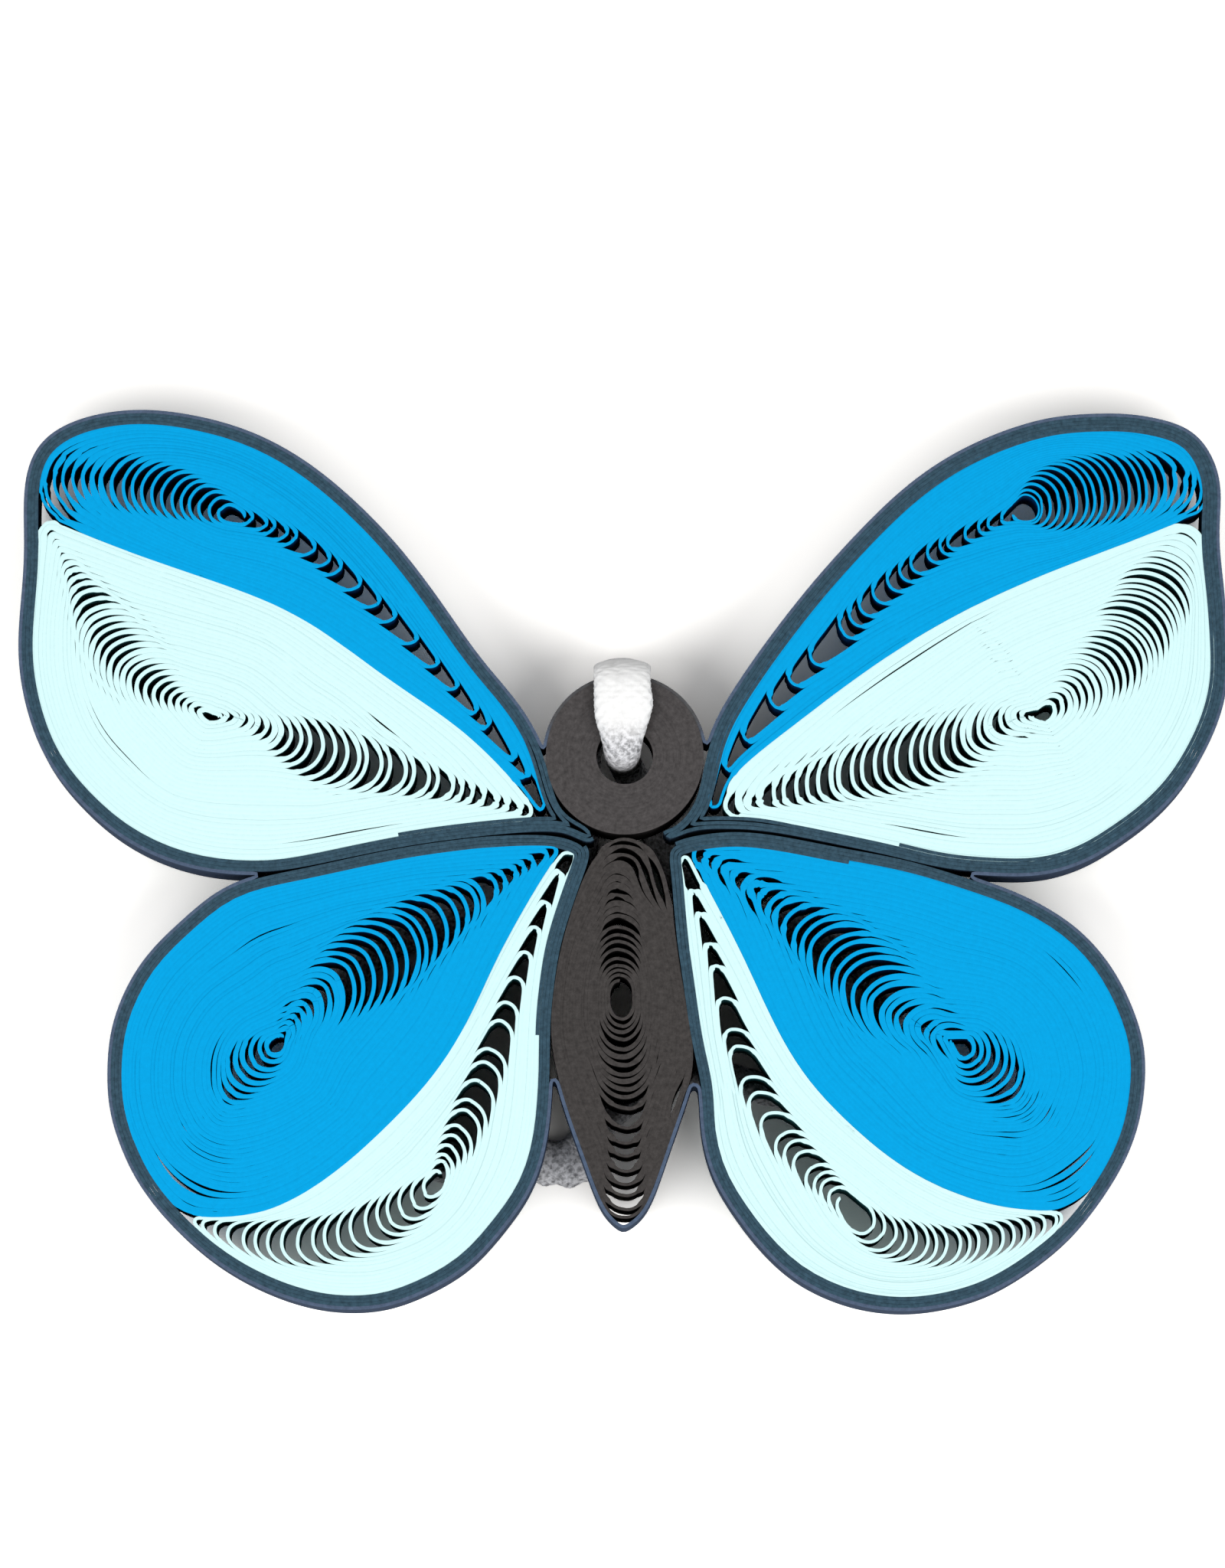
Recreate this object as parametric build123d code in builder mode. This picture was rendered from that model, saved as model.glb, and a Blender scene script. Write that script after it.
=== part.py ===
"""Quilled paper butterfly: pinched paper coils in wrapped borders, a coiled head and abdomen,
one strip folded round the whole outline, and a braided cord tied through the head."""
import os
from math import radians, sqrt, tan

from build123d import *

os.makedirs("parts", exist_ok=True)

# Driving dimensions, in millimetres. X runs to the right wing, Y to the head, Z to the front.
# The origin is the centre of the butterfly's box, so the back lies half a strip's width below it.
STRIP_WIDTH = 6.0
PAPER = 0.2
BORDER_WRAPS = 3
WRAP_PITCH = 0.22
FOLD_RADIUS = 0.34

HEAD_DIAMETER = 9.4
HEAD_HOLE = 3.0
HEAD_Y = 6.22
HOLE_LIFT = 0.18

ABDOMEN_LENGTH = 23.1
ABDOMEN_WIDTH = 8.06

UPPER_REACH = 36.14
UPPER_TOP = 26.72
UPPER_HEM = 0.7
LOWER_REACH = 30.6
LOWER_HEM = 26.925
HEM_AT_HEAD = 1.5
HEM_LAP = 1.0
ROOT_DROP = 0.3
ROOT_RISE = 0.4
ROOT_LAP = 0.1

CORNER_VOID = 1.1
EYE_WIDTH = 0.6
EYE_LENGTH = 1.6
EYE_CLEARANCE = 0.4

CORD_DIAMETER = 2.0
CORD_SIDES = 6
CORD_CLEARANCE = 0.05
KNOT_LENGTH = 4.4
KNOT_WIDTH = 3.1
KNOT_BEVEL = 0.6

BORDER = BORDER_WRAPS * WRAP_PITCH
BACK = -STRIP_WIDTH / 2
HEAD_RADIUS = HEAD_DIAMETER / 2
HEAD_BOTTOM = HEAD_Y - HEAD_RADIUS
ABDOMEN_HALF = ABDOMEN_WIDTH / 2
FLOOR = BACK - CORD_CLEARANCE - CORD_DIAMETER / 2
FAR = 60.0
TOUCH = 0.001

# How a gap between two turns is shaped: its half width as a share of the room beside the spine,
# its opening as a share of the pitch, and its bow towards the eye as a share of its half width.
GAP_HALF_WIDTH = 0.52
GAP_OPENING = 0.5
GAP_BOW = 0.55
GAP_CORNER = 0.5

# Shapes as shares of a wing's reach and rise, or of the abdomen's half width and length.
# A right-hand wing is drawn, and the left-hand one is its mirror image.
UPPER_SHAPE = [(0.234, 0.493), (0.796, 1.0), (0.949, 0.959), (0.990, 0.705), (0.949, 0.213)]
LOWER_SHAPE = [(0.964, 0.243), (0.781, 0.891), (0.320, 0.925), (0.180, 0.708)]
UPPER_DIVIDER = [(0.028, -0.06), (0.389, 0.399), (0.843, 0.698), (1.07, 0.813)]
LOWER_DIVIDER = [(0.059, -0.135), (0.304, 0.356), (0.693, 0.775), (1.05, 0.801)]
ABDOMEN_RIGHT = [(0.68, 0.115), (0.98, 0.565), (0.50, 0.85)]
ABDOMEN_LEFT = [(0.66, 0.115), (1.07, 0.44), (0.50, 0.85)]

# Each coil's eye, the line that its noses follow from there to each end, and the gaps along it.
UPPER_BLUE = {
    "eye": (0.645, 0.771),
    "root": ([(0.490, 0.653), (0.376, 0.500), (0.275, 0.328), (0.197, 0.194), (0.150, 0.130)], 8),
    "tip": ([(0.783, 0.840), (0.925, 0.850)], 6),
}
UPPER_PALE = {
    "eye": (0.687, 0.321),
    "root": ([(0.529, 0.254), (0.401, 0.194), (0.275, 0.142), (0.190, 0.116)], 9),
    "tip": ([(0.809, 0.433), (0.885, 0.590), (0.929, 0.705)], 6),
}
LOWER_BLUE = {
    "eye": (0.676, 0.411),
    "root": ([(0.502, 0.217), (0.382, 0.131), (0.248, 0.045), (0.173, -0.004)], 8),
    "tip": ([(0.784, 0.558)], 3),
}
LOWER_PALE = {
    "eye": (0.367, 0.721),
    "root": ([(0.261, 0.440), (0.203, 0.251), (0.158, 0.097), (0.134, 0.030)], 7),
    "tip": ([(0.575, 0.835), (0.797, 0.820)], 6),
}
ABDOMEN = {
    "eye": (-0.06, 0.425),
    "root": ([(-0.02, 0.25), (-0.02, 0.08)], 5),
    "tip": ([(-0.02, 0.65), (0.01, 0.91)], 6),
}

# The cord's route, from the knot under the left wings, over the head, down through its hole and
# back under the right wings and the abdomen. It lies flat, apart from its fold over the head.
CORD_LEFT = [
    (-4.9, -17.9), (-8.0, -18.5), (-12.0, -17.9), (-15.8, -15.4), (-18.0, -11.7), (-17.6, -7.7),
    (-14.9, -4.8), (-11.1, -3.5), (-7.3, -3.0), (-4.3, -1.7), (-2.5, 0.9), (-2.4, 3.8), (-2.5, 6.8),
    (-1.5, 9.5), (-0.2, 11.7),
]
CORD_FOLD = [
    (-0.15, 13.0, -2.6), (-0.15, 13.05, 0.3), (-0.15, 12.7, 2.9), (-0.15, 11.3, 4.35),
    (-0.15, 9.2, 4.65), (-0.15, 7.4, 4.2), (-0.15, 6.35, 2.5), (-0.15, 6.4, -0.2), (-0.1, 6.35, -2.85),
]
CORD_RIGHT = [
    (0.5, 5.4), (1.6, 3.4), (2.3, 0.9), (4.1, -1.5), (7.2, -2.9), (11.1, -3.8), (14.6, -5.7), (16.1, -9.0),
    (14.6, -12.3), (11.2, -13.9), (7.6, -13.2), (4.6, -12.2), (1.3, -13.0), (-1.2, -15.1), (-2.9, -17.0),
]
KNOT_PLACE = (-3.7, -17.8)


def placed(shares, reach, rise, side=1, foot=0.0):
    """Turns shares of a reach and a rise into points on one side of the butterfly."""
    return [(side * x * reach, foot + y * rise) for x, y in shares]


def smooth_arcs(points, closed=False):
    """Draws a smooth line through points as arcs, two between each pair, all tangent in turn."""
    guide = Spline(*points, periodic=closed, mode=Mode.PRIVATE)
    stops = [Vector(*point) for point in points]
    if closed:
        stops.append(stops[0])
    for start, end in zip(stops, stops[1:]):
        leave, arrive = guide.tangent_at(start), guide.tangent_at(end)
        span = end - start
        reach = span.dot(leave + arrive)
        bend = 2 * (1 - leave.dot(arrive))
        handle = span.dot(span) / (reach + sqrt(reach**2 + bend * span.dot(span)))
        joint = (start + end + (leave - arrive) * handle) * 0.5
        first = TangentArc(start, joint, tangent=leave)
        TangentArc(joint, end, tangent=first % 1)


def spines_of(coil, reach, rise, side=1, foot=0.0):
    """A coil's eye, and the line from it to each end with the number of gaps along it."""
    eye = placed([coil["eye"]], reach, rise, side, foot)[0]
    lines = []
    for end in ("root", "tip"):
        shares, count = coil[end]
        through = [eye] + placed(shares, reach, rise, side, foot)
        lines.append((Edge.make_spline([Vector(*point) for point in through]), count))
    return eye, lines


def crescent(spine, place, pitch, rim):
    """The gap behind one turn's nose: a crescent bowed away from the eye, drawn in short straights."""
    middle = spine.position_at(place, PositionMode.LENGTH)
    along = spine.tangent_at(place, PositionMode.LENGTH)
    across = Vector(-along.Y, along.X)
    half = GAP_HALF_WIDTH * rim.distance_to(middle)
    bow = GAP_BOW * min(half, place)
    opening = GAP_OPENING * min(pitch, half) / 2
    corners = [middle - along * bow - across * half]
    for edge, shares in ((1, (-GAP_CORNER, GAP_CORNER)), (-1, (GAP_CORNER, -GAP_CORNER))):
        if edge < 0:
            corners.append(middle - along * bow + across * half)
        for share in shares:
            corners.append(middle + along * (edge * opening - bow * share**2) + across * (half * share))
    with BuildSketch() as gap:
        with BuildLine():
            Polyline(*corners, close=True)
        make_face()
    return gap.sketch


def quilled_coil(name, outline, eye, spines):
    """One strip rolled and pinched, as a solid of the coil's outline. Its turns lie packed at the
    sides and part in the middle, so each leaves a crescent-shaped gap behind the next one's nose."""
    rim = outline.outer_wire()
    tilt = Vector(1, 0).get_signed_angle(spines[0][0] % 0)
    gaps = []
    for spine, count in spines:
        start = EYE_LENGTH / 2 + EYE_CLEARANCE
        pitch = (spine.length - start) / count
        gaps += [crescent(spine, start + (step + 0.5) * pitch, pitch, rim) for step in range(count)]
    with BuildPart() as coil:
        with BuildSketch(Plane.XY.offset(BACK)):
            add(outline)
            add(gaps, mode=Mode.SUBTRACT)
            with Locations(eye):
                SlotOverall(EYE_LENGTH, EYE_WIDTH, rotation=tilt, mode=Mode.SUBTRACT)
        extrude(amount=STRIP_WIDTH)
    coil.part.label = name
    export_step(coil.part, f"parts/{name}.step")


def slab(name, face, *cut):
    """A piece of one strip's width, cut from a face."""
    with BuildPart() as piece:
        with BuildSketch(Plane.XY.offset(BACK)):
            add(face)
            for hollow in cut:
                add(hollow, mode=Mode.SUBTRACT)
        extrude(amount=STRIP_WIDTH)
    piece.part.label = name
    export_step(piece.part, f"parts/{name}.step")


def abdomen_outline():
    """The abdomen's outline: two sides from a blunt top against the head to a pinched tip."""
    top, tip = (0, HEAD_BOTTOM), (0, HEAD_BOTTOM - ABDOMEN_LENGTH)
    with BuildSketch() as outline:
        with BuildLine():
            for side, shares in ((1, ABDOMEN_RIGHT), (-1, ABDOMEN_LEFT)):
                smooth_arcs([top, *placed(shares, ABDOMEN_HALF, -ABDOMEN_LENGTH, side, HEAD_BOTTOM), tip])
        make_face()
    return outline.sketch


def head_outline():
    """The head's disc."""
    with BuildSketch() as disc:
        with Locations((0, HEAD_Y)):
            Circle(HEAD_RADIUS)
    return disc.sketch


def upper_outline(side):
    """The upper wing's outline. Its root and inner side start under the head's edge and are cut
    to it, so that the wing always touches the head."""
    root = [
        (side * 0.39 * HEAD_RADIUS, HEAD_BOTTOM - ROOT_DROP),
        (side * (HEAD_RADIUS - ROOT_LAP), HEAD_Y + ROOT_RISE),
    ]
    hem = [
        (side * 0.609 * UPPER_REACH, -UPPER_HEM),
        (side * 0.223 * UPPER_REACH, HEM_AT_HEAD),
        (side * 0.68 * HEAD_RADIUS, HEAD_BOTTOM - ROOT_DROP),
    ]
    return root + placed(UPPER_SHAPE, UPPER_REACH, UPPER_TOP, side) + hem


def lower_outline(side):
    """The lower wing's outline. Its top runs under the upper wing's hem and its inner side under
    the abdomen's edge, and both are cut to them."""
    top = [
        (side * 0.5 * HEAD_RADIUS, HEAD_BOTTOM - 2 * ROOT_DROP),
        (side * 0.304 * LOWER_REACH, HEM_AT_HEAD + ROOT_LAP),
        (side * 0.588 * LOWER_REACH, HEM_LAP - UPPER_HEM),
    ]
    inner = [
        (side * 0.80 * ABDOMEN_HALF, -0.33 * LOWER_HEM),
        (side * 0.60 * ABDOMEN_HALF, -0.07 * LOWER_HEM),
    ]
    return top + placed(LOWER_SHAPE, LOWER_REACH, -LOWER_HEM, side) + inner


def wing_outline(points, *neighbours):
    """A wing's whole outline as one face, cut to the pieces that it is glued to."""
    with BuildSketch() as wing:
        with BuildLine():
            smooth_arcs(points, closed=True)
        make_face()
        for neighbour in neighbours:
            add(neighbour, mode=Mode.SUBTRACT)
    return wing.sketch.faces().sort_by(SortBy.AREA)[-1]


def build_wing(name, face, root, divider, beyond, blue, pale):
    """One wing: a border of wrapped strip, and a blue and a pale coil that meet at the divider."""
    inside = offset(face, -BORDER, kind=Kind.ARC).faces().sort_by(SortBy.AREA)[-1]
    slab(f"{name}_wing_border", face, inside)
    with BuildLine() as seam:
        smooth_arcs(divider)
    with BuildSketch() as blue_side:
        with BuildLine():
            add(seam.line)
            Polyline(divider[-1], *beyond, divider[0])
        make_face()
    for colour, mode, spines in (("blue", Mode.INTERSECT, blue), ("pale", Mode.SUBTRACT, pale)):
        with BuildSketch() as outline:
            add(inside)
            add(blue_side.sketch, mode=mode)
            ends = outline.vertices().filter_by(lambda end: seam.line.distance_to(end) < TOUCH)
            with Locations(ends.sort_by_distance(Vector(*root))[-1]):
                Circle(CORNER_VOID / 2, mode=Mode.SUBTRACT)
        coil = outline.sketch.faces().sort_by(SortBy.AREA)[-1]
        quilled_coil(f"{name}_{colour}_coil", coil, *spines)


def build_butterfly():
    """Every paper piece, from the middle out."""
    head, abdomen = head_outline(), abdomen_outline()
    with BuildSketch() as hole:
        with Locations((0, HEAD_Y + HOLE_LIFT)):
            Circle(HEAD_HOLE / 2)
    slab("head_coil", head, hole.sketch)
    quilled_coil(
        "abdomen_coil", abdomen.faces()[0],
        *spines_of(ABDOMEN, ABDOMEN_HALF, -ABDOMEN_LENGTH, 1, HEAD_BOTTOM),
    )
    faces = [head, abdomen]
    for hand, side in (("left", -1), ("right", 1)):
        upper = wing_outline(upper_outline(side), head)
        lower = wing_outline(lower_outline(side), head, abdomen, upper)
        build_wing(
            f"upper_{hand}", upper, (side * HEAD_RADIUS, HEAD_BOTTOM),
            placed(UPPER_DIVIDER, UPPER_REACH, UPPER_TOP, side),
            [(side * FAR, FAR), (-side * FAR, FAR), (-side * FAR, -UPPER_TOP)],
            spines_of(UPPER_BLUE, UPPER_REACH, UPPER_TOP, side),
            spines_of(UPPER_PALE, UPPER_REACH, UPPER_TOP, side),
        )
        build_wing(
            f"lower_{hand}", lower, (side * ABDOMEN_HALF, HEAD_BOTTOM),
            placed(LOWER_DIVIDER, LOWER_REACH, -LOWER_HEM, side),
            [(side * FAR, -LOWER_DIVIDER[-1][1] * LOWER_HEM), (side * FAR, FAR), (0, FAR)],
            spines_of(LOWER_BLUE, LOWER_REACH, -LOWER_HEM, side),
            spines_of(LOWER_PALE, LOWER_REACH, -LOWER_HEM, side),
        )
        faces += [upper, lower]
    build_perimeter(faces)


def build_perimeter(faces):
    """The strip glued round the whole outline. It can't fold sharply, so in each notch it turns
    back in a small round fold and leaves a gap behind the fold."""
    with BuildSketch() as together:
        for face in faces:
            add(face)
    silhouette = Face(together.sketch.faces().sort_by(SortBy.AREA)[-1].outer_wire())
    grown = offset(silhouette, FOLD_RADIUS, kind=Kind.ARC).faces().sort_by(SortBy.AREA)[-1]
    filled = Face(grown.outer_wire())
    outer = offset(filled, PAPER - FOLD_RADIUS, kind=Kind.ARC).faces().sort_by(SortBy.AREA)[-1]
    inner = offset(filled, -FOLD_RADIUS, kind=Kind.ARC).faces().sort_by(SortBy.AREA)[-1]
    gaps = [gap for gap in (inner - silhouette).faces() if gap.area > PAPER**2]
    slab("perimeter_strip", outer, silhouette, *gaps)


def build_cord():
    """The hanging cord as a plain tube along its route, and the flat knot that closes its loop."""
    with BuildPart() as knot:
        with BuildSketch(Plane.XY.offset(FLOOR - CORD_DIAMETER / 2)):
            with Locations(KNOT_PLACE):
                Rectangle(KNOT_LENGTH, KNOT_WIDTH)
        extrude(amount=CORD_DIAMETER)
        chamfer(knot.edges(), KNOT_BEVEL)
    knot.part.label = "cord_knot"
    export_step(knot.part, "parts/cord_knot.step")

    route = [Vector(x, y, FLOOR) for x, y in CORD_LEFT]
    route += [Vector(*point) for point in CORD_FOLD]
    route += [Vector(x, y, FLOOR) for x, y in CORD_RIGHT]
    radii = []
    for before, corner, after in zip(route, route[1:], route[2:]):
        run = min((corner - before).length, (after - corner).length)
        turn = (corner - before).get_angle(after - corner)
        radii.append(0.45 * run / tan(radians(turn) / 2))
    print("cord radii", [round(radius, 1) for radius in radii])
    with BuildPart() as cord:
        with BuildLine() as path:
            FilletPolyline(*route, radius=radii)
        start = path.wire() @ 0
        with BuildSketch(Plane(start, z_dir=path.wire() % 0)):
            section = RegularPolygon(CORD_DIAMETER / 2, CORD_SIDES)
        sweep(path=path.wire())
        length = path.wire().length
        print("cord length", round(length, 1), "section times length", round(section.area * length, 1))
        print("tube volume", round(cord.part.volume, 1))
        add(knot.part, mode=Mode.SUBTRACT)
    cord.part.label = "hanging_cord"
    export_step(cord.part, "parts/hanging_cord.step")


build_butterfly()
build_cord()
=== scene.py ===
"""Quilled paper butterfly: its looks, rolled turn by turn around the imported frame.

Each strip of paper is worked out as a centre line, in millimetres in the frame's XY plane, from
places seen in the photo. It becomes a mesh in metres, and each mesh stands for one solid.
"""

import bpy
import numpy as np
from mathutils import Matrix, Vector


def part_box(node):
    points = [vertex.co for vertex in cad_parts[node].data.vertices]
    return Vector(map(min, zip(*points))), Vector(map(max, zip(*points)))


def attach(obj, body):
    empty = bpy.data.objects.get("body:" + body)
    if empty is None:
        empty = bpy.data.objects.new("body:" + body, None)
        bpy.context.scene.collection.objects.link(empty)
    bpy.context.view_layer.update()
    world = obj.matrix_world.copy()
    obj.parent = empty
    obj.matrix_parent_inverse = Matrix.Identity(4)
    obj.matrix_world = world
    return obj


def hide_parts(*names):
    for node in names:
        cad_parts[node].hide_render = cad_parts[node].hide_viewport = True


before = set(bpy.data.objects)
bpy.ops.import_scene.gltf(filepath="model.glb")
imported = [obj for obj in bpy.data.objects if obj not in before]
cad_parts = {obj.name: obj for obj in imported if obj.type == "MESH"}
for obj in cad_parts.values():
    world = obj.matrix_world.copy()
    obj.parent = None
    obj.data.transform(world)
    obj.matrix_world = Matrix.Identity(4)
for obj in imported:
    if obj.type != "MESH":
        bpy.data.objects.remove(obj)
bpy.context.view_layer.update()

MM = 0.001
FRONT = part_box("head_coil")[1].z / MM
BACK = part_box("head_coil")[0].z / MM
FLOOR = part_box("hanging_cord")[0].z / MM

# The photo's scale on the butterfly's front, the pixel over the frame's origin, and its size.
PIXEL = 0.0457
ORIGIN_PIXEL = (816, 1123)
PHOTO_SIZE = (1600, 2048)


def photo(*pixels):
    """Pixels of the photo as millimetres in the frame's XY plane."""
    return np.array([((x - ORIGIN_PIXEL[0]) * PIXEL, (ORIGIN_PIXEL[1] - y) * PIXEL) for x, y in pixels])


# Lines.

# Amounts too small to be seen, which keep a division or the order of samples sound.
TINY = 1e-12
SLIGHT = 1e-6
# Samples between two points of a smooth line.
SPLINE_SAMPLES = 40


def lengths(points):
    """The length along a line at each of its points."""
    return np.concatenate([[0], np.cumsum(np.linalg.norm(np.diff(points, axis=0), axis=1))])


def at_lengths(points, wanted):
    """Points of a line at the given lengths along it, its ends for lengths beyond them."""
    along = lengths(points)
    return np.stack([np.interp(wanted, along, column) for column in points.T], axis=1)


def evenly(points, step):
    """A line resampled in even steps, both ends kept."""
    total = lengths(points)[-1]
    return at_lengths(points, np.linspace(0, total, max(3, round(total / step) + 1)))


def evenly_round(loop, step):
    """A closed line resampled in even steps."""
    return evenly(np.vstack([loop, loop[:1]]), step)[:-1]


def smooth_line(points, step):
    """Even samples of a smooth line through points, a cubic spline whose curvature is unbroken."""
    count = len(points)
    gaps = np.linalg.norm(np.diff(points, axis=0), axis=1) ** 0.5
    rise = np.diff(points, axis=0) / gaps[:, None]
    system = np.zeros((count, count))
    known = np.zeros_like(points)
    system[0, :2] = 2, 1
    system[-1, -2:] = 1, 2
    known[0], known[-1] = 3 * rise[0], 3 * rise[-1]
    for i in range(1, count - 1):
        system[i, i - 1:i + 2] = 1 / gaps[i - 1], 2 / gaps[i - 1] + 2 / gaps[i], 1 / gaps[i]
        known[i] = 3 * (rise[i - 1] / gaps[i - 1] + rise[i] / gaps[i])
    slopes = np.linalg.solve(system, known)
    pieces = []
    for i, gap in enumerate(gaps):
        t = np.linspace(0, 1, SPLINE_SAMPLES, endpoint=i == count - 2)[:, None]
        pieces.append(
            points[i] * (2 * t**3 - 3 * t**2 + 1) + points[i + 1] * (3 * t**2 - 2 * t**3)
            + slopes[i] * gap * (t**3 - 2 * t**2 + t) + slopes[i + 1] * gap * (t**3 - t**2)
        )
    return evenly(np.vstack(pieces), step)


def turned_left(points, closed=False):
    """Unit normals to the left of a line at each of its points."""
    if closed:
        along = np.roll(points, -1, axis=0) - np.roll(points, 1, axis=0)
    else:
        along = np.gradient(points, axis=0)
    along /= np.linalg.norm(along, axis=1, keepdims=True) + TINY
    return np.stack([-along[:, 1], along[:, 0]], axis=1)


def softened(points, reach, step, closed=True):
    """A line whose bends are eased over a reach, as paper's stiffness does."""
    half = int(np.ceil(3 * reach / step))
    if closed:
        while half > len(points):
            half //= 2
        padded = np.vstack([points[-half:], points, points[:half]])
    else:
        before = 2 * points[0] - points[1:half + 1][::-1]
        after = 2 * points[-1] - points[-half - 1:-1][::-1]
        padded = np.vstack([before, points, after])
    weights = np.exp(-0.5 * (np.arange(-half, half + 1) * step / reach) ** 2)
    weights /= weights.sum()
    return np.stack([np.convolve(column, weights, "valid") for column in padded.T], axis=1)


def hump(value, middle, reach):
    """A soft hump, 1 at its middle."""
    return np.exp(-((value - middle) / reach) ** 2)


def eased_step(value, middle, reach):
    """A step from 0 to 1 with soft ends."""
    return 1 / (1 + np.exp(-np.clip((value - middle) / reach, -40, 40)))


def apart(points, others):
    """How far each of some points lies from each of the others."""
    return np.linalg.norm(points[:, None] - others[None], axis=2)


def nearest(points, place):
    """The index of the point nearest a place."""
    return int(np.argmin(np.linalg.norm(points - place, axis=1)))


def crossings(ring, line):
    """Where a line crosses a closed ring: (index on the ring, index on the line, the point)."""
    a, b = ring, np.roll(ring, -1, axis=0)
    c, d = line[:-1], line[1:]
    r, s = (b - a)[:, None], (d - c)[None]
    q = c[None] - a[:, None]
    cross = r[..., 0] * s[..., 1] - r[..., 1] * s[..., 0]
    cross = np.where(np.abs(cross) < TINY, TINY, cross)
    t = (q[..., 0] * s[..., 1] - q[..., 1] * s[..., 0]) / cross
    u = (q[..., 0] * r[..., 1] - q[..., 1] * r[..., 0]) / cross
    found = np.argwhere((t >= 0) & (t < 1) & (u >= 0) & (u < 1))
    return [(int(i), int(j), a[i] + t[i, j] * (b[i] - a[i])) for i, j in found]


def stretch(ring, first, last):
    """The points of a closed ring from index first on to index last."""
    return ring[first:last + 1] if first <= last else np.vstack([ring[first:], ring[:last + 1]])


# Rolling paper. Lengths are in millimetres.

# The room beside an outline that nothing faces.
BOUNDLESS = 99
# The line along the middle of a room: its step, its ease, and the samples skipped at its ends.
AXIS_STEP = 0.1
AXIS_EASE = 0.8
AXIS_SKIPS = 3
# The two ends of a room, root and tip, and the way to each from the eye.
ENDS = ((0, -1), (1, 1))
# A packed turn's least and most thickness against the usual one, and how softly it changes.
LOOSENED = (0.7, 1.7)
PITCH_EASE = 0.6
# The spacing, in turns' thicknesses, from which paper begins to stand free and from which it does,
# how thick it is then against the usual, and the step along the neighbours it is measured from.
STANDS_FREE = (1.3, 1.7)
NOSE_PAPER = 0.9
NEIGHBOUR_STEP = 0.1
# One turn: its narrowest nose, the room it leaves at the rim, how far each way its nose looks for
# the room's direction, its step, and its ease, which is a share of the turn where that is less.
NARROWEST = 0.12
SPARE_ROOM = 0.05
NOSE_LOOK = 0.15
RING_STEP = 0.05
RING_EASE = 0.15
RING_EASE_SHARE = 0.06
# Samples round a nose and along half a turn, and how much the latter crowd towards its noses.
NOSE_SAMPLES = 26
HALF_SAMPLES = 84
NOSE_CROWDING = 0.86
# How far from the eye the first noses lie, and how far noses stray, against their spacing.
FIRST_NOSE = 0.5
NOSE_WANDER = 0.5
# A slit's reach across the turns, the taper of its ends, and the turns over which it closes.
SLIT_REACH = 3.0
SLIT_TAPER = 1.5
SLIT_FADE = 4.0


def room_beside(points, inward):
    """For each point of an outline, the radius of the largest disc that touches it there and
    stays inside."""
    room = np.empty(len(points))
    for i, (point, normal) in enumerate(zip(points, inward)):
        away = points - point
        reach = away @ normal
        facing = reach > SLIGHT
        room[i] = np.min((away[facing] ** 2).sum(1) / (2 * reach[facing])) if facing.any() else BOUNDLESS
    return room


def sweep(centre, radius, reach, start, end, towards):
    """Points round a nose, from one direction to another by way of a third: half an oval that
    is reach times as long as it is wide."""
    middle = np.arctan2(towards[1], towards[0])
    ahead = np.array([np.cos(middle), np.sin(middle)])
    aside = np.array([-ahead[1], ahead[0]])

    def turn(direction):
        angle = np.arctan2(direction[1], direction[0]) - middle
        return (angle + np.pi) % (2 * np.pi) - np.pi

    angles = np.linspace(turn(start), turn(end), NOSE_SAMPLES)[:, None]
    return centre + radius * (reach * np.cos(angles) * ahead + np.sin(angles) * aside)


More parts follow.
